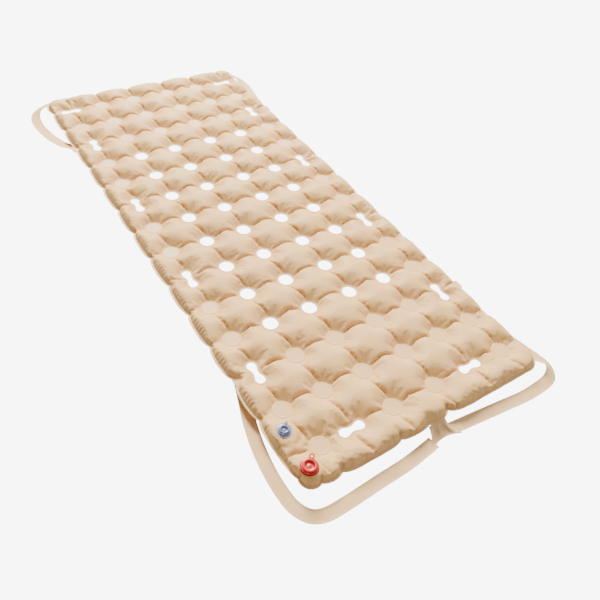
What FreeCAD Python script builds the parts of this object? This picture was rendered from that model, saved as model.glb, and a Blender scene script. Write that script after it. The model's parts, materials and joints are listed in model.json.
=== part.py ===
"""Inflatable pressure relief mattress: a static air overlay for a hospital bed.

Two coated sheets are welded together round their edge and at a grid of spots, so the air between them
stands up as rows of cells. Some spots are plain discs, some have a vent hole, and some have a slot for a
strap. Two valves sit on the foot's left corner, and four straps loop round the corners.

Frame: +X is the patient's left as they lie on their back, +Y runs to the head and +Z is up. The origin is
the middle of the weld grid, on the face that rests on the bed. All sizes are in millimetres.
"""

import FreeCAD, Part
import math
import os

Vector = FreeCAD.Vector
UP = Vector(0, 0, 1)

# Weld grid: fourteen rows from head to foot, six columns from side to side.
row_count = 14
row_pitch = 140.0
centre_column_pitch = 156.0
middle_column_pitch = 142.0
side_column_pitch = 132.0
side_margin = 76.0  # from the outer columns to the edge seam
end_margin = 95.0  # from the first and last rows to the edge seam
corner_cut = 45.0  # taken off the four outer corners
valve_weld_room = 6.0  # between the foot's left weld, which stands further in, and the slot beside it

# Inflated heights.
weld_height = 25.0  # the plane where the sheets meet, above the bed
top_rise = 27.0  # crown of the upper sheet above that plane
wall_rise = 12.0  # straight part of each cell's side
shoulder_rise = 22.0  # where a cell's side turns in to its crown
shoulder_share = 0.86  # width of a cell at its shoulder, of its full width
crown_share = 0.62  # width of a cell's flat crown, of its full width

# Welds: each one fills the diamond that four cells leave between their cut corners.
weld_thickness = 1.2
round_weld_reach = 42.0  # from the centre to the tip of the diamond
slot_weld_reach = 56.0  # the same, along a slot
valve_weld_shift = side_column_pitch - round_weld_reach - slot_weld_reach - valve_weld_room
vent_radius = 24.0
slot_lobe_radius = 15.0
slot_lobe_spacing = 50.0
slot_neck_width = 17.0
seam_width = 8.0

# Straps and the tabs that hold them.
strap_width = 38.0
strap_thickness = 1.5
strap_side_gap = 10.0  # from the seam's outer edge to the strap, along the sides
strap_end_gap = 16.0  # the same, past the foot and the head
strap_ramp = 140.0  # length over which a strap comes down to the bed
foot_corner_radius = 56.0  # centre line of the left foot strap
tight_corner_radius = 32.0  # centre line of the other three
tab_gap = 2.0  # between a strap and the tab that it hangs from
tab_length = 40.0
foot_tab_width = 72.0
head_tab_width = 60.0

# Inflation valve, clear.
inflation_flange_radius = 22.5
inflation_flange_thickness = 1.2
inflation_neck_radius = 12.5
inflation_neck_depth = 12.0
inflation_rim_radius = 17.0
inflation_rim_height = 4.0
inflation_bore_radius = 9.0
inflation_head_radius = 13.0
inflation_head_height = 3.0
inflation_skirt_depth = 9.0
inflation_recess_radius = 6.5
flap_radius = 10.5
flap_thickness = 0.8

# Deflation valve, red.
deflation_flange_radius = 25.0
deflation_flange_thickness = 1.5
deflation_neck_radius = 17.0
deflation_neck_depth = 16.0
deflation_rim_radius = 23.0
deflation_rim_height = 5.0
deflation_bore_radius = 13.0
deflation_head_radius = 19.0
deflation_head_height = 3.5
deflation_skirt_depth = 14.0
deflation_recess_radius = 10.0

# What both valves share.
valve_inset = 36.0  # from the side seam to the valves' axes
plug_fit = 0.1  # radial clearance of a plug's skirt in its bore
plug_floor = 1.5  # thickness under a plug's recess
moving_gap = 0.3  # between pieces that move past each other
pocket_gap = 1.0  # between a valve's neck and the cell round it
pocket_depth = 25.0  # room for the neck, and for the flap to swing
pull_direction = 45.0  # degrees from +X, where the pull tab and ring point
tab_pull_length = 9.0
tab_pull_width = 9.0
tab_pull_thickness = 1.6
ring_radius = 7.5
ring_hole_radius = 4.2
ring_thickness = 2.0
tether_width = 5.0
tether_thickness = 1.2

# Places that follow from the sizes above.
column_x = [
    -centre_column_pitch / 2 - middle_column_pitch - side_column_pitch,
    -centre_column_pitch / 2 - middle_column_pitch,
    -centre_column_pitch / 2,
    centre_column_pitch / 2,
    centre_column_pitch / 2 + middle_column_pitch,
    centre_column_pitch / 2 + middle_column_pitch + side_column_pitch,
]
row_y = [((row_count - 1) / 2 - row) * row_pitch for row in range(row_count)]
half_width = column_x[-1] + side_margin
half_length = row_y[0] + end_margin
outer_half_width = half_width + seam_width
outer_half_length = half_length + seam_width
crown_height = weld_height + top_rise
weld_underside = weld_height - weld_thickness / 2
valve_x = -half_width + valve_inset
inflation_valve_y = (row_y[-1] + row_y[-2]) / 2
deflation_valve_y = row_y[-1] - end_margin / 2
valve_cells = [(0, row_count - 1), (0, row_count)]
strap_side_x = -(outer_half_width + strap_side_gap + strap_width / 2)
strap_foot_y = -(outer_half_length + strap_end_gap + strap_width / 2)


def weld_kind(column, row):
    """What a weld is: "plain", "vent", "slot_along" (the mattress's length) or "slot_across"."""
    on_side = column in (0, 5)
    if on_side and row in (2, 5, 8, 11):
        return "slot_along"
    if (on_side and row == 0) or (column in (1, 4) and row == row_count - 1):
        return "slot_across"
    if not on_side and 3 <= row <= 10:
        return "vent"
    return "plain"


def weld_centre(column, row):
    """Where a weld is in plan."""
    beside_valves = column == 0 and row == row_count - 1
    shift = valve_weld_shift if beside_valves else 0.0
    return column_x[column] + shift, row_y[row]


def grid_point(column_line, row_line):
    """Where two grid lines cross: a weld, or a point of the edge seam on the outermost lines."""
    last_column, last_row = len(column_x) + 1, row_count + 1
    column = min(max(column_line, 1), last_column - 1) - 1
    row = min(max(row_line, 1), last_row - 1) - 1
    x, y = weld_centre(column, row)
    if column_line in (0, last_column):
        x = -half_width if column_line == 0 else half_width
    if row_line in (0, last_row):
        y = half_length if row_line == 0 else -half_length
    return x, y


def corner_reach(column_line, row_line):
    """How far the cells are cut back from a grid point, across and along the mattress."""
    on_side_seam = column_line in (0, len(column_x) + 1)
    on_end_seam = row_line in (0, row_count + 1)
    if on_side_seam and on_end_seam:
        return corner_cut, corner_cut
    if on_side_seam or on_end_seam:
        return 0.0, 0.0
    kind = weld_kind(column_line - 1, row_line - 1)
    across = slot_weld_reach if kind == "slot_across" else round_weld_reach
    along = slot_weld_reach if kind == "slot_along" else round_weld_reach
    return across, along


def reached(column_line, row_line, column_step, row_step):
    """The point that the cut reaches from a grid point towards the next one."""
    x, y = grid_point(column_line, row_line)
    next_x, next_y = grid_point(column_line + column_step, row_line + row_step)
    across, along = corner_reach(column_line, row_line)
    share = (across if column_step else along) / math.hypot(next_x - x, next_y - y)
    return x + (next_x - x) * share, y + (next_y - y) * share


def prism(points, base_z, height):
    """A polygon in plan, made solid upwards from base_z."""
    corners = [Vector(x, y, base_z) for x, y in points]
    face = Part.Face(Part.makePolygon(corners + corners[:1]))
    return face.extrude(Vector(0, 0, height))


def stacked_solid(rings):
    """The solid that a stack of similar polygons bounds, from the first ring to the last."""
    ends = [rings[0], rings[-1]]
    faces = [Part.Face(Part.makePolygon(ring + ring[:1])) for ring in ends]
    for low, high in zip(rings, rings[1:]):
        for here in range(len(low)):
            there = (here + 1) % len(low)
            corners = [low[here], low[there], high[there], high[here], low[here]]
            faces.append(Part.Face(Part.makePolygon(corners)))
    solid = Part.makeSolid(Part.makeShell(faces))
    if solid.Volume < 0:
        solid.reverse()
    return solid


def cell_outline(column, row):
    """The plan of one cell, anticlockwise from its low left corner, with its corners cut."""
    # Each corner: its grid lines, then the steps along the side before it and the side after it.
    corners = (
        (column, row + 1, (0, -1), (1, 0)),
        (column + 1, row + 1, (-1, 0), (0, -1)),
        (column + 1, row, (0, 1), (-1, 0)),
        (column, row, (1, 0), (0, 1)),
    )
    outline = []
    for column_line, row_line, before, after in corners:
        if corner_reach(column_line, row_line) == (0.0, 0.0):
            outline.append(grid_point(column_line, row_line))
        else:
            outline.append(reached(column_line, row_line, *before))
            outline.append(reached(column_line, row_line, *after))
    return outline


def half_cell(column, row, rise, shoulder, direction):
    """Half of one air cell: a straight wall, a sloping shoulder and a flat crown, all convex."""
    outline = cell_outline(column, row)
    centre_x = sum(x for x, _ in outline) / len(outline)
    centre_y = sum(y for _, y in outline) / len(outline)

    def ring(share, height):
        return [
            Vector(
                centre_x + (x - centre_x) * share,
                centre_y + (y - centre_y) * share,
                weld_height + direction * height,
            )
            for x, y in outline
        ]

    return stacked_solid(
        [
            ring(1.0, 0.0),
            ring(1.0, wall_rise),
            ring(shoulder_share, shoulder),
            ring(crown_share, rise),
        ]
    )


def sheet(rise, direction, left_out=()):
    """One sheet of the mattress as the half cells that it forms."""
    shoulder = shoulder_rise * rise / top_rise
    cells = []
    for row in range(row_count + 1):
        for column in range(len(column_x) + 1):
            if (column, row) not in left_out:
                cells.append(half_cell(column, row, rise, shoulder, direction))
    return Part.makeCompound(cells)


def valve_panel():
    """The part of the upper sheet that holds the valves: its two cells, each with a valve's pocket."""
    necks = ((inflation_valve_y, inflation_neck_radius), (deflation_valve_y, deflation_neck_radius))
    cells = []
    for (column, row), (y, neck_radius) in zip(valve_cells, necks):
        cell = half_cell(column, row, top_rise, shoulder_rise, 1)
        low_z = crown_height - pocket_depth
        cells.append(cell.cut(cylinder(valve_x, y, neck_radius + pocket_gap, low_z, crown_height)))
    return Part.makeCompound([cell.Solids[0] for cell in cells])


def weld_plate(column, row):
    """The diamond where the two sheets are welded to each other, without its hole."""
    lines = (column + 1, row + 1)
    steps = ((-1, 0), (0, 1), (1, 0), (0, -1))
    diamond = [reached(*lines, *step) for step in steps]
    return prism(diamond, weld_underside, weld_thickness)


def cylinder(x, y, radius, low_z, high_z):
    return Part.makeCylinder(radius, high_z - low_z, Vector(x, y, low_z), UP)


def block(x_range, y_range, z_range):
    (x0, x1), (y0, y1), (z0, z1) = x_range, y_range, z_range
    return Part.makeBox(x1 - x0, y1 - y0, z1 - z0, Vector(x0, y0, z0))


def slot_cutter(x, y, along):
    """A dog-bone: two round lobes joined by a narrower neck."""
    low_z, high_z = weld_height - weld_thickness, weld_height + weld_thickness
    half, neck = slot_lobe_spacing / 2, slot_neck_width / 2
    lobes = [
        cylinder(x, y + side * half, slot_lobe_radius, low_z, high_z) for side in (-1, 1)
    ]
    bar = block((x - neck, x + neck), (y - half, y + half), (low_z, high_z))
    cutter = bar.fuse(lobes)
    if not along:
        cutter.rotate(Vector(x, y, 0), UP, 90)
    return cutter


def welds(kinds):
    """All the welds of some kinds, each with its own hole."""
    plates = []
    for row in range(row_count):
        for column in range(len(column_x)):
            x, y = weld_centre(column, row)
            kind = weld_kind(column, row)
            if kind not in kinds:
                continue
            plate = weld_plate(column, row)
            if kind == "vent":
                plate = plate.cut(cylinder(x, y, vent_radius, 0, crown_height))
            elif kind != "plain":
                plate = plate.cut(slot_cutter(x, y, kind == "slot_along"))
            plates.append(plate)
    return Part.makeCompound(plates)


def perimeter_seam():
    """The flat welded edge, as one straight strip for each side and each cut corner."""
    inner_x, inner_y = half_width, half_length
    outer_x, outer_y = outer_half_width, outer_half_length
    inner = [
        (inner_x, -inner_y + corner_cut),
        (inner_x, inner_y - corner_cut),
        (inner_x - corner_cut, inner_y),
        (-inner_x + corner_cut, inner_y),
        (-inner_x, inner_y - corner_cut),
        (-inner_x, -inner_y + corner_cut),
        (-inner_x + corner_cut, -inner_y),
        (inner_x - corner_cut, -inner_y),
    ]
    # The seam's outer edge keeps the same width round each cut corner.
    outer_cut = corner_cut + seam_width * (2 - math.sqrt(2))
    outer = [
        (outer_x, -outer_y + outer_cut),
        (outer_x, outer_y - outer_cut),
        (outer_x - outer_cut, outer_y),
        (-outer_x + outer_cut, outer_y),
        (-outer_x, outer_y - outer_cut),
        (-outer_x, -outer_y + outer_cut),
        (-outer_x + outer_cut, -outer_y),
        (outer_x - outer_cut, -outer_y),
    ]
    strips = []
    for here in range(len(inner)):
        there = (here + 1) % len(inner)
        strip = [inner[here], inner[there], outer[there], outer[here]]
        strips.append(prism(strip, weld_underside, weld_thickness))
    return Part.makeCompound(strips)


def band(start, end, start_z=0.0, end_z=0.0):
    """A straight stretch of strap between two points in plan, which may rise or fall."""
    (x0, y0), (x1, y1) = start, end
    length = math.hypot(x1 - x0, y1 - y0)
    side_x = -(y1 - y0) / length * strap_width / 2
    side_y = (x1 - x0) / length * strap_width / 2
    profile = [
        Vector(x0 - side_x, y0 - side_y, start_z),
        Vector(x1 - side_x, y1 - side_y, end_z),
        Vector(x1 - side_x, y1 - side_y, end_z + strap_thickness),
        Vector(x0 - side_x, y0 - side_y, start_z + strap_thickness),
    ]
    face = Part.Face(Part.makePolygon(profile + profile[:1]))
    return face.extrude(Vector(2 * side_x, 2 * side_y, 0))


def bend(centre, radius, start_angle):
    """A quarter turn of strap lying flat, anticlockwise from start_angle in degrees."""
    x, y = centre
    inside = Part.makeCylinder(
        radius - strap_width / 2, strap_thickness, Vector(x, y, 0), UP, 90
    )
    quarter = Part.makeCylinder(
        radius + strap_width / 2, strap_thickness, Vector(x, y, 0), UP, 90
    ).cut(inside)
    quarter.rotate(Vector(x, y, 0), UP, start_angle)
    return quarter


def foot_strap(corner_radius):
    """The left foot strap: down from its side tab, round the corner and along to the foot tab."""
    top_y = row_y[11] - tab_length / 2 - tab_gap
    ramp_end_y = top_y - strap_ramp
    corner_y = strap_foot_y + corner_radius
    corner_x = strap_side_x + corner_radius
    pieces = [
        band((strap_side_x, top_y), (strap_side_x, ramp_end_y), weld_underside, 0),
        band((strap_side_x, ramp_end_y), (strap_side_x, corner_y)),
        bend((corner_x, corner_y), corner_radius, 180),
        band((corner_x, strap_foot_y), (-foot_tab_width / 2 - tab_gap, strap_foot_y)),
    ]
    return pieces[0].fuse(pieces[1:]).removeSplitter().Solids[0]


def head_strap(corner_radius):
    """The left head strap: down from its side tab, round the corner and back up to the head tab."""
    top_y = row_y[2] + tab_length / 2 + tab_gap
    ramp_end_y = top_y + strap_ramp
    strap_head_y = -strap_foot_y
    corner_y = strap_head_y - corner_radius
    corner_x = strap_side_x + corner_radius
    end_x = column_x[0] - head_tab_width / 2 + tab_gap
    pieces = [
        band((strap_side_x, top_y), (strap_side_x, ramp_end_y), weld_underside, 0),
        band((strap_side_x, ramp_end_y), (strap_side_x, corner_y)),
        bend((corner_x, corner_y), corner_radius, 90),
        band((corner_x, strap_head_y), (end_x, strap_head_y)),
    ]
    return pieces[0].fuse(pieces[1:]).removeSplitter().Solids[0]


def mirrored(shape):
    """The same piece on the other side of the mattress."""
    return shape.mirror(Vector(0, 0, 0), Vector(1, 0, 0))


def side_strap_tabs():
    """Four flat tabs welded to the seam, one at the side end of each strap."""
    outer_x = strap_side_x - strap_width / 2
    z_range = (weld_underside, weld_underside + weld_thickness)
    tabs = []
    for row in (2, 11):
        y_range = (row_y[row] - tab_length / 2, row_y[row] + tab_length / 2)
        tab = block((outer_x, -outer_half_width), y_range, z_range)
        tabs.extend([tab, mirrored(tab)])
    return Part.makeCompound(tabs)


def end_strap_tab(x_low, x_high, direction):
    """A tab that hangs from the seam at the foot or the head and turns out flat on the bed."""
    seam_y = direction * outer_half_length
    bend_y = seam_y + direction * strap_end_gap
    end_y = bend_y + direction * strap_width
    top_z = weld_height + weld_thickness / 2
    profile = [
        Vector(x_low, seam_y, weld_underside),
        Vector(x_low, bend_y, 0),
        Vector(x_low, end_y, 0),
        Vector(x_low, end_y, strap_thickness),
        Vector(x_low, bend_y + direction * strap_thickness, strap_thickness),
        Vector(x_low, seam_y + direction * strap_thickness, top_z),
        Vector(x_low, seam_y, top_z),
    ]
    face = Part.Face(Part.makePolygon(profile + profile[:1]))
    return face.extrude(Vector(x_high - x_low, 0, 0))


def head_strap_tabs():
    left = end_strap_tab(
        column_x[0] - head_tab_width / 2 + 2 * tab_gap,
        column_x[0] + head_tab_width / 2,
        1,
    )
    return Part.makeCompound([left, mirrored(left)])


def annulus(y, outer_radius, inner_radius, low_z, high_z):
    """A flat ring on a valve's axis."""
    ring = cylinder(valve_x, y, outer_radius, low_z, high_z)
    return ring.cut(cylinder(valve_x, y, inner_radius, low_z, high_z))


def valve_body(y, neck_radius, neck_depth, rim_radius, flange_thickness, rim_height, bore):
    """A neck that goes down through the sheet, and a wider rim on top of the flange."""
    flange_top = crown_height + flange_thickness
    neck = annulus(y, neck_radius, bore, crown_height - neck_depth, flange_top)
    rim = annulus(y, rim_radius, bore, flange_top, flange_top + rim_height)
    return neck.fuse(rim).removeSplitter().Solids[0]


def plug(y, rim_top, skirt_radius, skirt_depth, head_radius, head_height, recess_radius):
    """A push-in plug: a skirt that fits the bore, a head over the rim, and a recess from the top."""
    head_low = rim_top + moving_gap
    head_top = head_low + head_height
    skirt_low = rim_top - skirt_depth
    skirt = cylinder(valve_x, y, skirt_radius, skirt_low, head_low)
    head = cylinder(valve_x, y, head_radius, head_low, head_top)
    recess = cylinder(valve_x, y, recess_radius, skirt_low + plug_floor, head_top)
    return skirt.fuse(head).cut(recess).removeSplitter().Solids[0]


def turned_to_pull(shape, y, turn=0.0):
    """A piece built along +X from a valve's axis, turned to where the plug is pulled."""
    shape.rotate(Vector(valve_x, y, 0), UP, pull_direction + turn)
    return shape


def plug_tab(y, head_low, head_radius):
    """The small pull tab at the edge of the inflation plug's head."""
    inner_x = valve_x + head_radius + moving_gap
    outer_x = inner_x + tab_pull_length
    z_range = (head_low, head_low + tab_pull_thickness)
    half = tab_pull_width / 2
    tab = block((inner_x, outer_x), (y - half, y + half), z_range)
    tip = cylinder(outer_x, y, half, *z_range)
    return turned_to_pull(tab.fuse(tip).removeSplitter().Solids[0], y)


def pull_ring(y, head_low, head_radius):
    """The finger ring at the edge of the deflation plug's head, with a short neck."""
    inner_x = valve_x + head_radius + moving_gap
    centre_x = inner_x + ring_radius
    z_range = (head_low, head_low + ring_thickness)
    ring = Part.makeCylinder(ring_radius, ring_thickness, Vector(centre_x, y, head_low), UP)
    half = ring_radius / 2
    neck = block((inner_x, centre_x), (y - half, y + half), z_range)
    hole = cylinder(centre_x, y, ring_hole_radius, *z_range)
    return turned_to_pull(ring.fuse(neck).cut(hole).removeSplitter().Solids[0], y)


def tether(y, rim_radius, rim_top, head_radius, head_low):
    """A strip that keeps the plug on the valve: from the rim's side, up and in to the plug's head."""
    half = tether_width / 2
    outer_x = valve_x + rim_radius + tether_thickness
    top_z = head_low + tether_thickness
    upright = block(
        (valve_x + rim_radius, outer_x),
        (y - half, y + half),
        (rim_top - tether_thickness, top_z),
    )
    arm = block(
        (valve_x + head_radius + moving_gap, outer_x),
        (y - half, y + half),
        (head_low, top_z),
    )
    strip = upright.fuse(arm).removeSplitter().Solids[0]
    return turned_to_pull(strip, y, 180)


def valves():
    """Every piece of the two valves, by name."""
    inflation_rim_top = crown_height + inflation_flange_thickness + inflation_rim_height
    deflation_rim_top = crown_height + deflation_flange_thickness + deflation_rim_height
    inflation_head_low = inflation_rim_top + moving_gap
    deflation_head_low = deflation_rim_top + moving_gap
    flap_top = crown_height - inflation_neck_depth - moving_gap
    return {
        "inflation_valve_flange": annulus(
            inflation_valve_y,
            inflation_flange_radius,
            inflation_neck_radius,
            crown_height,
            crown_height + inflation_flange_thickness,
        ),
        "inflation_valve_body": valve_body(
            inflation_valve_y,
            inflation_neck_radius,
            inflation_neck_depth,
            inflation_rim_radius,
            inflation_flange_thickness,
            inflation_rim_height,
            inflation_bore_radius,
        ),
        "inflation_check_flap": cylinder(
            valve_x, inflation_valve_y, flap_radius, flap_top - flap_thickness, flap_top
        ),
        "inflation_plug": plug(
            inflation_valve_y,
            inflation_rim_top,
            inflation_bore_radius - plug_fit,
            inflation_skirt_depth,
            inflation_head_radius,
            inflation_head_height,
            inflation_recess_radius,
        ),
        "inflation_plug_tab": plug_tab(
            inflation_valve_y, inflation_head_low, inflation_head_radius
        ),
        "inflation_plug_tether": tether(
            inflation_valve_y,
            inflation_rim_radius,
            inflation_rim_top,
            inflation_head_radius,
            inflation_head_low,
        ),
        "deflation_valve_flange": annulus(
            deflation_valve_y,
            deflation_flange_radius,
            deflation_neck_radius,
            crown_height,
            crown_height + deflation_flange_thickness,
        ),
        "deflation_valve_body": valve_body(
            deflation_valve_y,
            deflation_neck_radius,
            deflation_neck_depth,
            deflation_rim_radius,
            deflation_flange_thickness,
            deflation_rim_height,
            deflation_bore_radius,
        ),
        "deflation_plug": plug(
            deflation_valve_y,
            deflation_rim_top,
            deflation_bore_radius - plug_fit,
            deflation_skirt_depth,
            deflation_head_radius,
            deflation_head_height,
            deflation_recess_radius,
        ),
        "deflation_pull_ring": pull_ring(
            deflation_valve_y, deflation_head_low, deflation_head_radius
        ),
        "deflation_plug_tether": tether(
            deflation_valve_y,
            deflation_rim_radius,
            deflation_rim_top,
            deflation_head_radius,
            deflation_head_low,
        ),
    }


def straps():
    """The four straps, by name."""
    return {
        "foot_strap_left": foot_strap(foot_corner_radius),
        "foot_strap_right": mirrored(foot_strap(tight_corner_radius)),
        "head_strap_left": head_strap(tight_corner_radius),
        "head_strap_right": mirrored(head_strap(tight_corner_radius)),
    }


def mattress():
    """Every piece of the mattress, by name."""
    return {
        "top_sheet": sheet(top_rise, 1, valve_cells),
        "valve_panel": valve_panel(),
        "bottom_sheet": sheet(weld_height, -1),
        "perimeter_seam": perimeter_seam(),
        "plain_welds": welds(("plain",)),
        "vent_welds": welds(("vent",)),
        "slot_welds": welds(("slot_along", "slot_across")),
        "side_strap_tabs": side_strap_tabs(),
        "foot_strap_tab": end_strap_tab(-foot_tab_width / 2, foot_tab_width / 2, -1),
        "head_strap_tabs": head_strap_tabs(),
        **straps(),
        **valves(),
    }


os.makedirs("parts", exist_ok=True)
for name, shape in mattress().items():
    shape.exportStep(f"parts/{name}.step")
    size = shape.BoundBox
    print(
        f"{name}: {len(shape.Solids)} solids, valid {shape.isValid()}, "
        f"{size.XLength:.1f} x {size.YLength:.1f} x {size.ZLength:.1f} mm"
    )
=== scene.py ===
"""The inflated pressure relief mattress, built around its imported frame.

Two coated films are welded together round the edge and at a grid of spots. The air between them lifts the
upper film into pillows, which a cloth simulation shapes, and the lower film takes the same shape, flattened
where it rests. The straps, the seam, the welds and the two valves are pieces of their own.

Lengths are in metres. Columns run along X and rows along Y, with row 0 at the head.
"""

import json
import logging
import math
from dataclasses import dataclass, field, replace
from enum import Enum

import bmesh
import bpy
import numpy as np
from mathutils import Matrix, Vector
from mathutils.geometry import delaunay_2d_cdt


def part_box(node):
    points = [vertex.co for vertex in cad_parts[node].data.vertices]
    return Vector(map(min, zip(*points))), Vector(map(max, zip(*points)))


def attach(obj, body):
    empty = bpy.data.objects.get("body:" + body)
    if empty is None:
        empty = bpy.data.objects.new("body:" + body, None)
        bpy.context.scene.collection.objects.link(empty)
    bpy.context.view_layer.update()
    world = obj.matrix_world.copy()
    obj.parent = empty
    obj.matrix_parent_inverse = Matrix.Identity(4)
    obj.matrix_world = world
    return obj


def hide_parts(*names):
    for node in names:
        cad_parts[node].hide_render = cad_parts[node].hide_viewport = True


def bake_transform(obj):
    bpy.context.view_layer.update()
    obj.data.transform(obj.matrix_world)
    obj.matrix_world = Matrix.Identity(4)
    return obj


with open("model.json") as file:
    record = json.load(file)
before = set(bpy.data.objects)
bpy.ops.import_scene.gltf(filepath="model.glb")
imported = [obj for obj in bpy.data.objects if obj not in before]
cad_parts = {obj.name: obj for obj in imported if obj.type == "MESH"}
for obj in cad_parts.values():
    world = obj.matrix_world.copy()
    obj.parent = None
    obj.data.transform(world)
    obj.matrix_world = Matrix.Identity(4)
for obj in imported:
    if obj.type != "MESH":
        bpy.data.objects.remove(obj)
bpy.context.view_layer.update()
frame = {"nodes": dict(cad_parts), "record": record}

log = logging.getLogger("mattress")
Array = np.ndarray
Place = tuple[float, float, float]


class WeldKind(Enum):
    """What a spot of the weld grid is."""

    PLAIN = "plain"
    VENT = "vent"
    SLOT_ALONG = "slot along the mattress"
    SLOT_ACROSS = "slot across the mattress"


@dataclass(frozen=True)
class Weld:
    """One spot where the two films are welded together."""

    x: float
    y: float
    kind: WeldKind


@dataclass(frozen=True)
class DogBone:
    """The outline of a strap slot: two round lobes joined by a waist, drawn as arcs.

    The waist's arcs touch the lobes, so their radius follows from the lobes and the waist's width.
    """

    lobe_radius: float = 0.015
    lobe_offset: float = 0.025
    half_waist: float = 0.0085

    @property
    def waist_radius(self) -> float:
        """The radius of the arcs that draw the waist in."""
        rise = self.lobe_offset**2 + self.half_waist**2 - self.lobe_radius**2
        return rise / (2 * (self.lobe_radius - self.half_waist))

    def distance(self, along: Array, across: Array) -> Array:
        """How far points are outside the outline, below 0 inside it.

        Within the waist it is the waist's radius less the distance to its centre, and elsewhere it is the
        distance to the nearer lobe's centre less the lobe's radius.

        Args:
            along: The points' places along the slot.
            across: The same across it.

        Returns:
            Each point's distance.
        """
        along, across = np.abs(along), np.abs(across)
        centre = self.half_waist + self.waist_radius
        lobe = np.hypot(along - self.lobe_offset, across) - self.lobe_radius
        waist = self.waist_radius - np.hypot(along, across - centre)
        in_waist = along * centre < self.lobe_offset * (centre - across)
        return np.where(in_waist, waist, lobe)

    def outline(self, offset: float, spacing: float) -> Array:
        """A closed line round the slot at an offset outwards, as points along and across it.

        Rays from the middle reach the line where the distance equals the offset, found by halving. The rays
        stand closer together towards the lobes' ends.

        Args:
            offset: How far outside the slot's edge the line runs.
            spacing: The length between neighbouring points.

        Returns:
            The line's points.
        """
        rim_share, crowding, halvings = 5.0, 0.42, 40
        reach = self.lobe_offset + self.lobe_radius + offset
        count = 4 * round(rim_share * reach / spacing / 4)
        turn = np.linspace(0, 2 * math.pi, count, endpoint=False)
        turn = turn - crowding * np.sin(2 * turn)
        near, far = np.zeros(count), np.full(count, 2 * reach)
        for _ in range(halvings):
            middle = (near + far) / 2
            outside = self.distance(middle * np.cos(turn), middle * np.sin(turn)) > offset
            near, far = np.where(outside, near, middle), np.where(outside, middle, far)
        return np.stack([near * np.cos(turn), near * np.sin(turn)], axis=1)


@dataclass(frozen=True)
class WeldGrid:
    """The grid of welds, placed by the frame's own mounts.

    Attributes:
        centre_column: How far the two middle columns are from the centre line.
        row_count: How many rows there are.
        disc_radius: A round weld's radius.
        rim_width: How wide the weld is round a hole.
        shifted_in: How far the weld beside the valves stands in from its column.
        slot: The outline of a strap slot.
    """

    centre_column: float = 0.078
    row_count: int = 14
    disc_radius: float = 0.028
    rim_width: float = 0.004
    shifted_in: float = 0.028
    slot: DogBone = field(default_factory=DogBone)

    @property
    def row_y(self) -> list[float]:
        """Where the rows are, from the head to the foot."""
        first = mount("slot_left_row_3")[1]
        pitch = (first - mount("slot_left_row_6")[1]) / 3
        return [first - pitch * (row - 2) for row in range(self.row_count)]

    @property
    def column_x(self) -> list[float]:
        """Where the columns are, from the left to the right."""
        outer, middle = mount("slot_left_head")[0], mount("slot_left_foot")[0]
        return [outer, middle, -self.centre_column, self.centre_column, -middle, -outer]

    def kind(self, column: int, row: int) -> WeldKind:
        """What a spot is.

        Args:
            column: Its column, from the left.
            row: Its row, from the head.

        Returns:
            Its kind.
        """
        if column in (0, 5) and row in (2, 5, 8, 11):
            return WeldKind.SLOT_ALONG
        if (column in (0, 5) and row == 0) or (column in (1, 4) and row == 13):
            return WeldKind.SLOT_ACROSS
        if 1 <= column <= 4 and 3 <= row <= 10:
            return WeldKind.VENT
        return WeldKind.PLAIN

    def welds(self) -> list[Weld]:
        """Every weld, row by row.

        Returns:
            The welds.
        """
        found = []
        for row, y in enumerate(self.row_y):
            for column, x in enumerate(self.column_x):
                beside_valves = column == 0 and row == self.row_count - 1
                shift = self.shifted_in if beside_valves else 0.0
                found.append(Weld(x + shift, y, self.kind(column, row)))
        return found

    def distance(self, weld: Weld, points: Array, offset: float = 0.0) -> Array:
        """How far points are outside a weld's edge: its disc, or the rim round its hole.

        Args:
            weld: The weld.
            points: Points in plan.
            offset: Taken off the distance, so that the edge moves outwards.

        Returns:
            Each point's distance, below 0 on the weld.
        """
        across, along = points[:, 0] - weld.x, points[:, 1] - weld.y
        if weld.kind is WeldKind.SLOT_ALONG:
            return self.slot.distance(along, across) - self.rim_width - offset
        if weld.kind is WeldKind.SLOT_ACROSS:
            return self.slot.distance(across, along) - self.rim_width - offset
        return np.hypot(across, along) - self.disc_radius - offset

    def line(self, weld: Weld, offset: float, spacing: float) -> Array:
        """A closed line round a weld.

        Args:
            weld: The weld.
            offset: How far outside its edge the line runs.
            spacing: The length between neighbouring points.

        Returns:
            The line's points, anticlockwise.
        """
        if weld.kind is WeldKind.SLOT_ALONG:
            flat = self.slot.outline(self.rim_width + offset, spacing)[:, ::-1] * (-1, 1)
        elif weld.kind is WeldKind.SLOT_ACROSS:
            flat = self.slot.outline(self.rim_width + offset, spacing)
        else:
            radius = self.disc_radius + offset
            flat = circle(radius, max(8, round(2 * math.pi * radius / spacing)))
        return flat + (weld.x, weld.y)


def mount(name: str) -> list[float]:
    """Where one of the record's mounts is."""
    return next(m["pos_m"] for m in frame["record"]["mounts"] if m["name"] == name)


def plan_middle(node: str) -> Array:
    """The middle of a CAD node's box in plan."""
    low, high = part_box(node)
    return np.array([(low.x + high.x) / 2, (low.y + high.y) / 2])


def unit(vectors: Array) -> Array:
    """Vectors, one in each row, made one long."""
    return vectors / np.linalg.norm(vectors, axis=1)[:, None]


def circle(radius: float, count: int) -> Array:
    """Points evenly round a circle about the origin."""
    turn = np.linspace(0, 2 * math.pi, count, endpoint=False)
    return np.stack([radius * np.cos(turn), radius * np.sin(turn)], axis=1)


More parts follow.
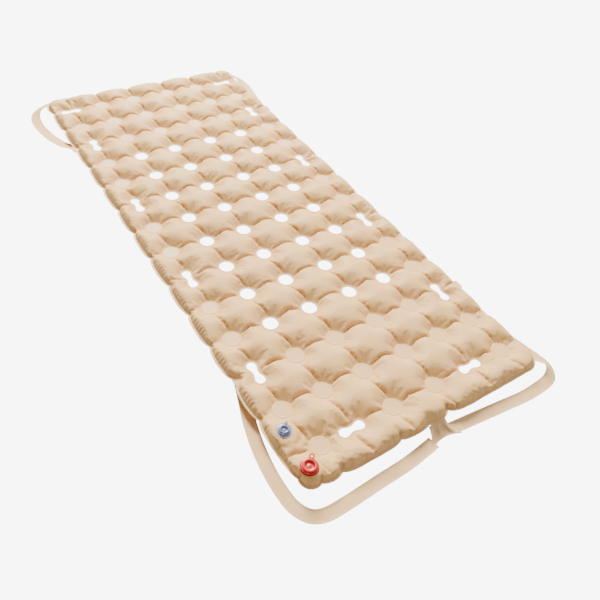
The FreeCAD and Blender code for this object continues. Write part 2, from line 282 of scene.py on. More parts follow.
@dataclass(frozen=True)
class Seam:
    """The edge seam in plan: a rectangle with round corners, drawn in where the welds pull on it.

    Attributes:
        inset: How far the films part inside the seam's outer edge.
        corner_radius: The radius of its corners.
        pull: How far a weld draws it in.
        pull_width: How fast that fades along it.
        deep_pull: How far it is drawn in where the left foot strap joins it.
        row_share: How much more than a weld the right edge is drawn in at the last row but one.
        corner_share: The same of the two pinches beside the valve corner.
        corner_pinch: How far those pinches are from the corner, along the mattress and across it.
        foot_pinches: Where the foot edge is pinched, across, and how much more than at a weld.
        spacing: The length between neighbouring points.
    """

    inset: float = 0.007
    corner_radius: float = 0.052
    pull: float = 0.012
    pull_width: float = 0.017
    deep_pull: float = 0.030
    row_share: float = 2.0
    corner_share: float = 1.1
    corner_pinch: tuple[float, float] = (0.047, 0.050)
    foot_pinches: tuple[tuple[float, float], ...] = (
        (-0.314, 1.0), (-0.122, 0.9), (-0.026, 0.7), (0.053, 1.6),
    )
    spacing: float = 0.005

    def line(self, grid: WeldGrid) -> Array:
        """The closed line where the films part, as points anticlockwise.

        The rounded rectangle is walked at even steps. Each weld of an outer row or column pulls the point of
        the line nearest to it inwards, less and less with the distance along the line.

        Args:
            grid: The weld grid.

        Returns:
            The line's points.
        """
        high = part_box("perimeter_seam")[1]
        half_width, half_length = high.x - self.inset, high.y - self.inset
        line = rounded_rectangle(half_width, half_length, self.corner_radius, self.spacing)
        pull = np.zeros(len(line))
        for x, y, depth in self.pulls(grid, half_width, half_length):
            apart = np.hypot(line[:, 0] - x, line[:, 1] - y)
            pull = np.maximum(pull, depth * np.exp(-apart / self.pull_width))
        return line + inward_normals(line) * pull[:, None]

    def pulls(self, grid: WeldGrid, half_width: float, half_length: float) -> list[Place]:
        """The places on the edge that are drawn in: beside the welds, and where a strap or a valve pulls.

        Args:
            grid: The weld grid.
            half_width: Half the line's width.
            half_length: Half its length.

        Returns:
            Where each place is in plan, and how far it is drawn in.
        """
        left, right, last = -half_width, half_width, grid.row_count - 1
        found = [(x, half_length, self.pull) for x in grid.column_x]
        for row, y in enumerate(grid.row_y):
            found.append((right, y, self.pull * (self.row_share if row == last - 1 else 1.0)))
            if row < last:
                found.append((left, y, self.deep_pull if row == last - 2 else self.pull))
        corner, (along, across) = self.pull * self.corner_share, self.corner_pinch
        found += [(left, along - half_length, corner), (across + left, -half_length, corner)]
        return found + [(x, -half_length, self.pull * share) for x, share in self.foot_pinches]


def rounded_rectangle(half_width: float, half_length: float, radius: float, spacing: float) -> Array:
    """A closed rectangle with round corners about the origin: quarter circles joined by straight runs.

    Args:
        half_width: Half its width.
        half_length: Half its length.
        radius: Its corners' radius.
        spacing: The length between neighbouring points.

    Returns:
        Its points, anticlockwise from the right side.
    """
    arc_steps = max(4, round(radius * math.pi / 2 / spacing))
    corners = [(half_width, half_length), (-half_width, half_length)]
    corners += [(-half_width, -half_length), (half_width, -half_length)]
    centres = [np.array([x - math.copysign(radius, x), y - math.copysign(radius, y)]) for x, y in corners]
    pieces = []
    for index, centre in enumerate(centres):
        turn = (index + np.linspace(0, 1, arc_steps, endpoint=False)) * math.pi / 2
        pieces.append(centre + radius * np.stack([np.cos(turn), np.sin(turn)], axis=1))
        last = (index + 1) * math.pi / 2
        reach = radius * np.array([math.cos(last), math.sin(last)])
        start, end = centre + reach, centres[(index + 1) % 4] + reach
        steps = round(float(np.linalg.norm(end - start)) / spacing)
        pieces.append(start + (end - start) * np.linspace(0, 1, steps, endpoint=False)[:, None])
    return np.concatenate(pieces)


def inward_normals(line: Array) -> Array:
    """For a closed anticlockwise line, the unit vector that points inwards at each point."""
    ahead = unit(np.roll(line, -1, axis=0) - np.roll(line, 1, axis=0))
    return np.stack([-ahead[:, 1], ahead[:, 0]], axis=1)


def nearest(points: Array, line: Array) -> Array:
    """The distance from each point to the nearest place on a closed line.

    Args:
        points: Points in plan.
        line: The line.

    Returns:
        Each point's distance.
    """
    best = np.full(len(points), np.inf)
    for start, end in zip(line, np.roll(line, -1, axis=0)):
        run = end - start
        share = np.clip(((points - start) @ run) / (run @ run), 0, 1)
        away = points - start - share[:, None] * run
        best = np.minimum(best, np.hypot(away[:, 0], away[:, 1]))
    return best


def inside(points: Array, line: Array) -> Array:
    """Whether each point is inside a closed line: a ray to the right crosses it an odd number of times.

    Args:
        points: Points in plan.
        line: The line.

    Returns:
        Whether each is inside.
    """
    crossings = np.zeros(len(points), int)
    for (x0, y0), (x1, y1) in zip(line, np.roll(line, -1, axis=0)):
        if y0 != y1:
            spans = (points[:, 1] < y0) != (points[:, 1] < y1)
            crossings += spans & (points[:, 0] < x0 + (points[:, 1] - y0) * (x1 - x0) / (y1 - y0))
    return crossings % 2 == 1


class Fold(Enum):
    """How a fold runs from one weld to the next."""

    ARCH = "across the mattress, arched towards the head"
    BEND = "along the mattress, bent like an S"


@dataclass(frozen=True)
class Creases:
    """The folds between the pillows, from each weld to the next.

    The folds across the mattress arch towards the head, and those along it bend like an S. Each has its own
    bend and depth, drawn from a seeded generator.

    Attributes:
        grid: The weld grid.
        arch: How far a fold across the mattress arches.
        bend: How far a fold along it bends to either side.
        width: How fast a fold's depth fades beside it.
        depth: A fold's depth, as a share of the film's rise.
        size_range: The least and the most that a fold's own bend is of the full one.
        strength_range: The same of its depth.
        seed: Where the draws start.
    """

    grid: WeldGrid
    arch: float = 0.011
    bend: float = 0.007
    width: float = 0.014
    depth: float = 0.58
    size_range: tuple[float, float] = (0.35, 1.25)
    strength_range: tuple[float, float] = (0.45, 1.15)
    seed: int = 11

    def depth_at(self, points: Array) -> Array:
        """How deep the folds cut at points in plan: the fold's depth, less and less with the distance to it.

        Beside a fold the depth falls exponentially. An arch is a sine squared from weld to weld, and an S is
        a full sine wave.

        Args:
            points: Points in plan.

        Returns:
            A share of the film's rise, from 0 away from the folds.
        """
        random = np.random.default_rng(self.seed)
        columns, rows = np.array(self.grid.column_x), np.array(self.grid.row_y)[::-1]
        x, y = points[:, 0], points[:, 1]
        column, across = self.cell(columns, x)
        row, along = self.cell(rows, y)
        deepest = np.zeros(len(points))
        for fold, lines, place, share, index, count in (
            (Fold.ARCH, rows, y, across, column, len(columns) + 1),
            (Fold.BEND, columns, x, along, row, len(rows) + 1),
        ):
            for line in lines:
                size = random.uniform(*self.size_range, count)[index]
                strength = random.uniform(*self.strength_range, count)[index]
                if fold is Fold.ARCH:
                    offset = self.arch * size * np.sin(math.pi * share) ** 2
                else:
                    offset = self.bend * size * np.sin(2 * math.pi * share)
                apart = np.abs(place - line - offset)
                deepest = np.maximum(deepest, self.depth * strength * np.exp(-apart / self.width))
        return deepest

    @staticmethod
    def cell(lines: Array, places: Array) -> tuple[Array, Array]:
        """Which gap between the weld lines each place is in, and what share of the way it is across it.

        One more line is taken on either side, as far out as the last gap is wide.

        Args:
            lines: Where the weld lines are, rising.
            places: The places.

        Returns:
            The gaps' numbers and the shares.
        """
        index = np.clip(np.searchsorted(lines, places) - 1, -1, len(lines) - 1) + 1
        wider = np.concatenate([[2 * lines[0] - lines[1]], lines, [2 * lines[-1] - lines[-2]]])
        return index, (places - wider[index]) / (wider[index + 1] - wider[index])


@dataclass
class FlatSheet:
    """One film laid flat, as triangles that follow the seam and every weld.

    Attributes:
        points: The vertices in plan.
        triangles: Each triangle's three vertices, anticlockwise.
        held: Whether each vertex is held to the other film or to a valve.
        height: How high each vertex stands above the weld plane before the air comes in.
    """

    points: Array
    triangles: Array
    held: Array
    height: Array

    def sides(self) -> Array:
        """Every triangle's three sides, each from its start to its end."""
        return np.concatenate([self.triangles[:, pair] for pair in ([0, 1], [1, 2], [2, 0])])


@dataclass(frozen=True)
class Film:
    """The mattress's two films, inflated.

    Attributes:
        grid: The weld grid.
        seam: The edge seam.
        creases: The folds between the pillows.
        spacing: The triangles' size before they are cut smaller.
        ring_share: The spacing round a weld, as a share of that.
        crown: How high a pillow stands above the welds before the air comes in.
        slope_length: How fast the film rises beside a weld.
        edge_round: The radius of the tube along the seam.
        seat_slope: How far from a valve the film keeps to its seat's height, less and less.
        growth: How much larger than its place the film is.
        groove_width: How fast a fold's groove fades beside it.
        groove_depth: How deep the groove is.
        groove_rise: How far above the welds the film has to be for the whole of that depth.
        pressure: The air's push on the film.
        frames: How long the film is given to settle.
    """

    grid: WeldGrid
    seam: Seam
    creases: Creases
    spacing: float = 0.0075
    ring_share: float = 0.8
    crown: float = 0.027
    slope_length: float = 0.030
    edge_round: float = 0.034
    seat_slope: float = 0.02
    growth: float = 0.025
    groove_width: float = 0.0027
    groove_depth: float = 0.0085
    groove_rise: float = 0.012
    pressure: float = 100.0
    frames: int = 12

    def flat(self) -> FlatSheet:
        """Lays out one film: a triangle grid with rings round the welds and valves and along the seam.

        Returns:
            The film laid flat.
        """
        edge, welds = self.seam.line(self.grid), self.grid.welds()
        ring_spacing, seat_share = self.spacing * self.ring_share, 50
        loops = [edge] + [self.grid.line(weld, 0.0, ring_spacing) for weld in welds]
        holes = [weld for weld in welds if weld.kind is not WeldKind.PLAIN]
        loops += [self.grid.line(weld, -self.grid.rim_width, ring_spacing) for weld in holes]
        for centre, radius, _ in valve_seats():
            loops.append(circle(radius, round(seat_share * radius / self.spacing / 8)) + centre)
        fill = self.triangle_grid(edge)
        clear = nearest(fill, edge)
        for weld in welds:
            apart = self.grid.distance(weld, fill)
            clear = np.minimum(clear, np.abs(apart) if weld.kind is WeldKind.PLAIN else np.maximum(apart, 0))
        for centre, radius, _ in valve_seats():
            clear = np.minimum(clear, np.abs(np.hypot(*(fill - centre).T) - radius))
        room = self.spacing * 0.6
        fill = fill[(clear > room) & inside(fill, edge)]
        points, triangles = self.triangulate(loops, fill, edge, holes)
        reach = np.full(len(points), 1.0)
        for weld in welds:
            reach = np.minimum(reach, np.maximum(self.grid.distance(weld, points), 0))
        edge_reach = nearest(points, edge)
        return FlatSheet(points, triangles, *self.start(points, reach, edge_reach))

    def triangle_grid(self, edge: Array) -> Array:
        """Points of an even triangle grid over the box round a line: every other row is half a step along.

        Args:
            edge: The line.

        Returns:
            The points.
        """
        low, high = edge.min(axis=0), edge.max(axis=0)
        rows = np.arange(low[1], high[1], self.spacing * math.sqrt(3) / 2)
        x, y = np.meshgrid(np.arange(low[0], high[0], self.spacing), rows)
        x[1::2] += self.spacing / 2
        return np.stack([x.ravel(), y.ravel()], axis=1)

    def triangulate(
        self, loops: list[Array], fill: Array, edge: Array, holes: list[Weld]
    ) -> tuple[Array, Array]:
        """Joins the points with triangles whose sides follow every loop, and leaves out the holes.

        Args:
            loops: Closed lines that the triangles follow.
            fill: The points between them.
            edge: The film's edge.
            holes: The welds that are cut through.

        Returns:
            The points and the triangles.
        """
        sides, start = [], 0
        for loop in loops:
            index = np.arange(len(loop))
            sides.append(np.stack([index, np.roll(index, -1)], axis=1) + start)
            start += len(loop)
        points = [Vector(point) for point in np.concatenate([*loops, fill]).tolist()]
        found = delaunay_2d_cdt(points, np.concatenate(sides).tolist(), [], 0, 1e-7)
        points, triangles = np.array([tuple(point) for point in found[0]]), np.array(found[2])
        centres = points[triangles].mean(axis=1)
        kept = inside(centres, edge)
        for weld in holes:
            kept &= self.grid.distance(weld, centres) > -self.grid.rim_width
        return points, triangles[kept]

    def start(self, points: Array, reach: Array, edge_reach: Array) -> tuple[Array, Array]:
        """The film's shape before the air comes in.

        It rises from each weld along an exponential curve and from the seam along a quarter circle, and the
        folds between the pillows cut into it.

        Args:
            points: The vertices in plan.
            reach: Each vertex's distance outside the nearest weld.
            edge_reach: Each vertex's distance inside the seam.

        Returns:
            Whether each vertex is held, and its height above the weld plane.
        """
        touching = 1e-5
        dome = 1 - np.exp(-reach / self.slope_length)
        tube = np.sqrt(1 - (1 - np.clip(edge_reach / self.edge_round, 0, 1)) ** 2)
        fold = self.creases.depth_at(points) * np.clip(edge_reach / self.edge_round, 0, 1)
        height = self.crown * dome * tube * (1 - fold)
        held = (reach < touching) | (edge_reach < touching)
        for centre, radius, seat_z in valve_seats():
            apart = np.hypot(*(points - centre).T)
            seat = seat_z - weld_top()
            near = np.clip((apart - radius) / self.seat_slope, 0, 1)
            height = np.where(apart < radius + self.seat_slope, seat + (height - seat) * near, height)
            held |= apart < radius + touching
        return held, np.where(edge_reach < touching, 0, height)

    def inflate(self, sheet: FlatSheet) -> Array:
        """Blows the upper film up: a cloth a little larger than its place, held at the welds and the seam.

        Args:
            sheet: The film laid flat.

        Returns:
            Where each vertex comes to rest.
        """
        start = np.column_stack([sheet.points, weld_top() + sheet.height])
        piece = mesh_object("inflating", start, sheet.triangles)
        group = piece.vertex_groups.new(name="held")
        group.add(np.flatnonzero(sheet.held).tolist(), 1.0, "REPLACE")
        cloth = piece.modifiers.new("Air", "CLOTH")
        settings = cloth.settings
        settings.vertex_group_mass = "held"
        settings.quality = 6
        settings.mass = 0.1
        settings.air_damping = 2.0
        settings.tension_stiffness = 200
        settings.compression_stiffness = 20
        settings.shear_stiffness = 20
        settings.bending_stiffness = 0.45
        settings.tension_damping = settings.compression_damping = settings.shear_damping = 5
        settings.shrink_min = -self.growth
        settings.use_pressure = True
        settings.uniform_pressure_force = self.pressure
        settings.effector_weights.gravity = 0
        cloth.collision_settings.use_collision = False
        cloth.point_cache.frame_end = self.frames
        for number in range(1, self.frames + 1):
            bpy.context.scene.frame_set(number)
        evaluated = piece.evaluated_get(bpy.context.evaluated_depsgraph_get())
        final = np.empty(len(start) * 3, np.float32)
        evaluated.data.vertices.foreach_get("co", final)
        bpy.context.scene.frame_set(1)
        bpy.data.objects.remove(piece, do_unlink=True)
        return final.reshape(-1, 3).astype(float)

    def refined(self, sheet: FlatSheet, upper: Array) -> tuple[FlatSheet, Array]:
        """Cuts each triangle into four at the middles of its sides.

        Args:
            sheet: The film laid flat.
            upper: Where each of its vertices is.

        Returns:
            The same film and places with the new vertices added.
        """
        triangles, count = sheet.triangles.astype(np.int64), len(upper)
        sides = np.stack([triangles, np.roll(triangles, -1, axis=1)], axis=2).reshape(-1, 2)
        low, high = sides.min(axis=1), sides.max(axis=1)
        codes, which = np.unique(low * count + high, return_inverse=True)
        start, end = codes // count, codes % count
        middle = count + which.reshape(-1, 3)
        first, second, third = middle[:, 0], middle[:, 1], middle[:, 2]
        parts = [
            (triangles[:, 0], first, third), (first, triangles[:, 1], second),
            (third, second, triangles[:, 2]), (first, second, third),
        ]
        smaller = np.concatenate([np.stack(part, axis=1) for part in parts])
        points = np.vstack([sheet.points, (sheet.points[start] + sheet.points[end]) / 2])
        held = np.concatenate([sheet.held, sheet.held[start] & sheet.held[end]])
        height = np.concatenate([sheet.height, (sheet.height[start] + sheet.height[end]) / 2])
        return FlatSheet(points, smaller, held, height), np.vstack([upper, (upper[start] + upper[end]) / 2])

    def folded(self, sheet: FlatSheet, upper: Array) -> tuple[FlatSheet, Array]:
        """Presses a narrow groove into the film along every fold, where it doubles under itself.

        A vertex sinks by the groove's depth, less and less with its distance from the fold and where the film
        comes down to a weld.

        Args:
            sheet: The film laid flat.
            upper: Where each of its vertices is.

        Returns:
            The film laid flat, as it was, and the new places.
        """
        narrow = replace(self.creases, width=self.groove_width, depth=1.0)
        share = np.clip(narrow.depth_at(sheet.points), 0, 1)
        rise = np.clip((upper[:, 2] - weld_top()) / self.groove_rise, 0, 1)
        sunk = upper.copy()
        sunk[:, 2] -= np.where(sheet.held, 0, self.groove_depth * share * rise)
        return sheet, sunk


def weld_top() -> float:
    """The height of the welds' upper face."""
    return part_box("plain_welds")[1].z


def weld_bottom() -> float:
    """The height of the welds' lower face."""
    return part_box("plain_welds")[0].z


def valve_seats() -> list[tuple[Array, float, float]]:
    """Where the valves sit on the film.

    Returns:
        Each valve's centre in plan, its flange's radius with a margin, and the film's height under it.
    """
    seats = []
    margin, under = 0.001, 0.0003
    for node in ("inflation_valve_flange", "deflation_valve_flange"):
        low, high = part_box(node)
        seats.append((plan_middle(node), (high.x - low.x) / 2 + margin, low.z - under))
    return seats


def mesh_object(name: str, vertices: Array, faces: Array | list, smooth: bool = True) -> bpy.types.Object:
    """Makes a mesh object at the origin and puts it in the scene.

    Args:
        name: The object's name.
        vertices: Its vertices.
        faces: Each face's vertices, in order.
        smooth: Whether it is shaded smooth.

    Returns:
        The object.
    """
    mesh = bpy.data.meshes.new(name)
    mesh.from_pydata(vertices.tolist(), [], faces if isinstance(faces, list) else faces.tolist())
    mesh.polygons.foreach_set("use_smooth", np.full(len(mesh.polygons), smooth))
    mesh.update()
    piece = bpy.data.objects.new(name, mesh)
    bpy.context.scene.collection.objects.link(piece)
    return piece


def closed_film(name: str, sheet: FlatSheet, upper: Array) -> bpy.types.Object:
    """Joins the inflated upper film to a lower film of the same shape, turned over, as one closed surface.

    The lower film hangs as far below the welds as the upper one stands above them, and is flat where it
    rests. A narrow wall joins the two along every free side.

    Args:
        name: The piece's name.
        sheet: The film laid flat.
        upper: Where each vertex of the upper film is.

    Returns:
        The piece.
    """
    floor_gap, weld_thickness = 0.0004, 0.002
    lower = upper.copy()
    drop = (upper[:, 2] - weld_top()) * weld_bottom() / (weld_top() - weld_thickness)
    lower[:, 2] = np.maximum(weld_bottom() - drop, floor_gap)
    count, ways = len(upper), sheet.sides()
    code, back = ways[:, 0] * count + ways[:, 1], ways[:, 1] * count + ways[:, 0]
    free = ways[~np.isin(code, back)]
    walls = np.stack([free[:, 1], free[:, 0], free[:, 0] + count, free[:, 1] + count], axis=1)
    faces = sheet.triangles.tolist() + (sheet.triangles[:, ::-1] + count).tolist() + walls.tolist()
    piece = mesh_object(name, np.concatenate([upper, lower]), faces)
    # Each vertex's share of painted shade in the folds, which the film's material darkens towards brown.
    shade = piece.data.attributes.new("fold", "FLOAT", "POINT")
    shade.data.foreach_set("value", np.tile(painted_fold_shade(sheet, upper), 2).astype(np.float32))
    return piece


def painted_fold_shade(sheet: FlatSheet, upper: Array) -> Array:
    """How much painted shade each vertex gets, from 0 to 1: how deep in a fold it lies.

    It is how far the vertex's neighbours stand above it, over how far away they are, averaged with the
    neighbours' own share, so that it fades out beside the fold.

    Args:
        sheet: The film laid flat.
        upper: Where each vertex of the upper film is.

    Returns:
        Each vertex's share of painted shade.
    """
    ways, steepest, sharpness = sheet.sides(), 0.45, 1.3
    start, end = np.concatenate([ways[:, 0], ways[:, 1]]), np.concatenate([ways[:, 1], ways[:, 0]])
    apart = np.hypot(*(upper[end, :2] - upper[start, :2]).T) + 1e-6
    near = np.maximum(np.bincount(start, minlength=len(upper)), 1)
    steep = np.bincount(start, (upper[end, 2] - upper[start, 2]) / apart, minlength=len(upper)) / near
    share = np.where(sheet.held, 0.0, np.clip(steep / steepest, 0, 1) ** sharpness)
    return (share + np.bincount(start, share[end], minlength=len(upper)) / near) / 2


def carried(line: Array, outward: Array, profile: Array, mid_z: float) -> tuple[Array, Array]:
    """A closed cross-section carried along a closed line in plan.

    Each point of the result is the line's point, moved outwards by the section's first number and lifted by
    its second.

    Args:
        line: The closed line, anticlockwise.
        outward: The outward unit vector at each point of the line.
        profile: The cross-section, as offsets outwards and upwards in order round it.
        mid_z: The height that the section's heights are measured from.

    Returns:
        The vertices and the four-sided faces.
    """
    plan = line[:, None, :] + outward[:, None, :] * profile[None, :, :1]
    height = np.broadcast_to(mid_z + profile[None, :, 1], plan.shape[:2])
    vertices = np.dstack([plan, height]).reshape(-1, 3)
    return vertices, ring_faces(len(line), len(profile))


def ring_faces(count: int, across: int, closed: bool = True) -> Array:
    """Four-sided faces of a grid that closes on itself across, and along too unless it is open.

    Args:
        count: How many sections there are along it.
        across: How many points each section has.
        closed: Whether the last section joins the first.

    Returns:
        Each face's four vertices.
    """
    along = np.arange(count if closed else count - 1)
    first, second = np.meshgrid(along, np.arange(across), indexing="ij")
    ahead, beside = (first + 1) % count, (second + 1) % across
    corners = ((first, second), (ahead, second), (ahead, beside), (first, beside))
    return np.stack([(row * across + column).ravel() for row, column in corners], axis=1)


def without(faces: Array, across: int, pair: set[int]) -> list[list[int]]:
    """The faces of a grid but for the strip that joins two points of its section.

    Args:
        faces: The faces.
        across: How many points each section has.
        pair: The two points' numbers.

    Returns:
        The other faces.
    """
    return [face for face in faces.tolist() if {corner % across for corner in face} != pair]


def plate(line: Array, outward: Array, section: Array, mid_z: float) -> tuple[Array, list]:
    """A cross-section carried round a plate's edge, with flat faces above and below for its inner wall.

    Args:
        line: The closed line, anticlockwise.
        outward: The outward unit vector at each point of the line.
        section: The cross-section, its lower half first, which starts at its outer end.
        mid_z: The height that the section's heights are measured from.

    Returns:
        The vertices and the faces.
    """
    vertices, faces = carried(line, outward, section, mid_z)
    across, half = len(section), len(section) // 2
    starts = np.arange(len(line)) * across
    caps = [(starts + half).tolist(), (starts + half - 1)[::-1].tolist()]
    return vertices, without(faces, across, {half - 1, half}) + caps


def rounded_section(inner: float, outer: float, half_thickness: float, bead: float) -> Array:
    """A flat cross-section, thicker by a bead near its outer edge and rounded at it.

    Args:
        inner: The offset that it starts at.
        outer: The offset that it ends at.
        half_thickness: Half its thickness where it is flat.
        bead: How much thicker the bead is, as a share.

    Returns:
        Its points, as offsets outwards and upwards.
    """
    width = outer - inner
    upper = [(0.0, 1.0), (0.12, 1.0), (0.45, 1.0), (0.62, 1.0 + bead)]
    upper += [(0.8, 1.0 + bead), (0.94, 0.7), (1.0, 0.2)]
    top = [(inner + width * share, half_thickness * rise) for share, rise in upper]
    low = [(offset, -rise) for offset, rise in reversed(top)]
    return np.array(low + top)


def merged(name: str, shapes: list[tuple[Array, Array | list]]) -> bpy.types.Object:
    """Puts several closed shells into one mesh object.

    Args:
        name: The object's name.
        shapes: Each shell's vertices and faces.

    Returns:
        The object.
    """
    vertices, faces, start = [], [], 0
    for points, found in shapes:
        vertices.append(points)
        listed = found if isinstance(found, list) else found.tolist()
        faces += [[corner + start for corner in face] for face in listed]
        start += len(points)
    return turned_out(mesh_object(name, np.concatenate(vertices), faces))


def turned_out(piece: bpy.types.Object) -> bpy.types.Object:
    """Turns the faces of a piece made of closed shells outwards.

    Args:
        piece: The piece.

    Returns:
        The same piece.
    """
    shell = bmesh.new()
    shell.from_mesh(piece.data)
    bmesh.ops.recalc_face_normals(shell, faces=shell.faces)
    shell.to_mesh(piece.data)
    shell.free()
    return piece


@dataclass(frozen=True)
class Welds:
    """The welded discs, the rims of the vents and slots, and the edge seam.

    Attributes:
        grid: The weld grid.
        seam: The edge seam's line.
        half_thickness: Half a weld's thickness.
        tuck: How far a weld reaches into the film beside it.
        disc_border: How far a disc's bead is inside its edge at most.
        disc_bead: How much thicker a disc's bead is, as a share.
        rim_bead: The same of a rim and the seam.
        line_spacing: The length between neighbouring points of a rim.
        seam_half_thickness: Half the seam's thickness.
        seam_width: How far the seam stands out from where the films part.
        seam_overlap: How far it reaches in.
        seam_wave: How far it waves up and down.
    """

    grid: WeldGrid
    seam: Seam
    half_thickness: float = 0.0010
    tuck: float = 0.0006
    disc_border: float = 0.009
    disc_bead: float = 0.55
    rim_bead: float = 0.5
    line_spacing: float = 0.003
    seam_half_thickness: float = 0.0008
    seam_width: float = 0.0065
    seam_overlap: float = 0.002
    seam_wave: float = 0.0008

    @property
    def mid_z(self) -> float:
        """The height of the weld plane."""
        return (weld_top() + weld_bottom()) / 2

    def disc(self, weld: Weld) -> tuple[Array, list]:
        """A plain weld: a flat disc with a bead near its edge, closed by a flat face above and below.

        Args:
            weld: The weld.

        Returns:
            The vertices and the faces.
        """
        section = rounded_section(-self.disc_border, self.tuck, self.half_thickness, self.disc_bead)
        line = circle(self.grid.disc_radius, 56)
        return plate(line + (weld.x, weld.y), line / self.grid.disc_radius, section, self.mid_z)

    def rim(self, weld: Weld) -> tuple[Array, Array]:
        """The welded rim round a vent or a slot.

        Args:
            weld: The weld.

        Returns:
            The vertices and the faces.
        """
        line, lip = self.grid.line(weld, -self.grid.rim_width, self.line_spacing), 0.0003
        section = rounded_section(-lip, self.grid.rim_width + self.tuck, self.half_thickness, self.rim_bead)
        return carried(line, -inward_normals(line), section, self.mid_z)

    def build(self, finish: "Finish") -> None:
        """Makes the discs, rims and seam.

        Args:
            finish: What they are made of.
        """
        welds = self.grid.welds()
        plain = [self.disc(weld) for weld in welds if weld.kind is WeldKind.PLAIN]
        vents = [self.rim(weld) for weld in welds if weld.kind is WeldKind.VENT]
        slot_kinds = (WeldKind.SLOT_ALONG, WeldKind.SLOT_ACROSS)
        slots = [self.rim(weld) for weld in welds if weld.kind in slot_kinds]
        for name, shapes, node in (
            ("weld_discs", plain, "plain_welds"),
            ("vent_rims", vents, "vent_welds"),
            ("slot_rims", slots, "slot_welds"),
            ("edge_seam", [self.edge()], "perimeter_seam"),
        ):
            placed(merged(name, shapes), "mattress", [node], finish)

    def edge(self) -> tuple[Array, Array]:
        """The seam's flat band, which waves gently up and down at its outer edge.

        Its height follows the sum of three sine waves of the place round the edge, times the share of the way
        out across the band.

        Returns:
            The vertices and the faces.
        """
        line = self.seam.line(self.grid)
        half = self.seam_half_thickness
        section = rounded_section(-self.seam_overlap, self.seam_width, half, self.rim_bead)
        vertices, faces = carried(line, -inward_normals(line), section, self.mid_z)
        place = np.repeat(np.linspace(0, 2 * math.pi, len(line), endpoint=False), len(section))
        wave = np.sin(41 * place) + 0.8 * np.sin(67 * place + 1) + 0.6 * np.sin(113 * place + 2)
        outer = np.tile(np.clip(section[:, 0] / self.seam_width, 0, 1), len(line))
        vertices[:, 2] += self.seam_wave * wave * outer
        return vertices, faces


def dressed(piece: bpy.types.Object, nodes: list[str], finish: "Finish") -> None:
    """Gives a piece its finish, and hides the CAD nodes that it stands for.

    Args:
        piece: The piece.
        nodes: The CAD nodes.
        finish: What it is made of.
    """
    piece.data.materials.append(finish.material())
    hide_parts(*nodes)
    log.info("%s: %d vertices", piece.name, len(piece.data.vertices))


def placed(piece: bpy.types.Object, body: str, nodes: list[str], finish: "Finish") -> None:
    """Dresses a piece and lets it move with one body.

    Args:
        piece: The piece.
        body: The body.
        nodes: The CAD nodes that it stands for.
        finish: What it is made of.
    """
    dressed(piece, nodes, finish)
    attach(piece, body)


def smooth_route(points: Array, steps: int) -> Array:
    """A smooth line through the given points: a Catmull-Rom curve, with the end runs continued straight.

    Between two points it is the cubic whose ends have half the difference of the neighbours on either side as
    their slopes.

    Args:
        points: The points that it passes through.
        steps: How many pieces each run is cut into.

    Returns:
        The line's points.
    """
    longer = np.vstack([2 * points[0] - points[1], points, 2 * points[-1] - points[-2]])
    share = np.linspace(0, 1, steps, endpoint=False)[None, :, None]
    before, start, end, after = (longer[i : len(points) - 1 + i][:, None, :] for i in range(4))
    curve = start + share * (end - before) / 2
    curve = curve + share**2 * (before - 2.5 * start + 2 * end - after / 2)
    curve = curve + share**3 * (1.5 * (start - end) + (after - before) / 2)
    return np.vstack([curve.reshape(-1, points.shape[1]), points[-1:]])


def across_route(path: Array) -> tuple[Array, Array]:
    """The level direction square to a route at each of its points, and the one square to both.

    Args:
        path: The route's points.

    Returns:
        Both, as unit vectors.
    """
    ahead = unit(np.gradient(path, axis=0))
    side = unit(np.cross(ahead, (0.0, 0.0, 1.0)))
    return side, np.cross(side, ahead)


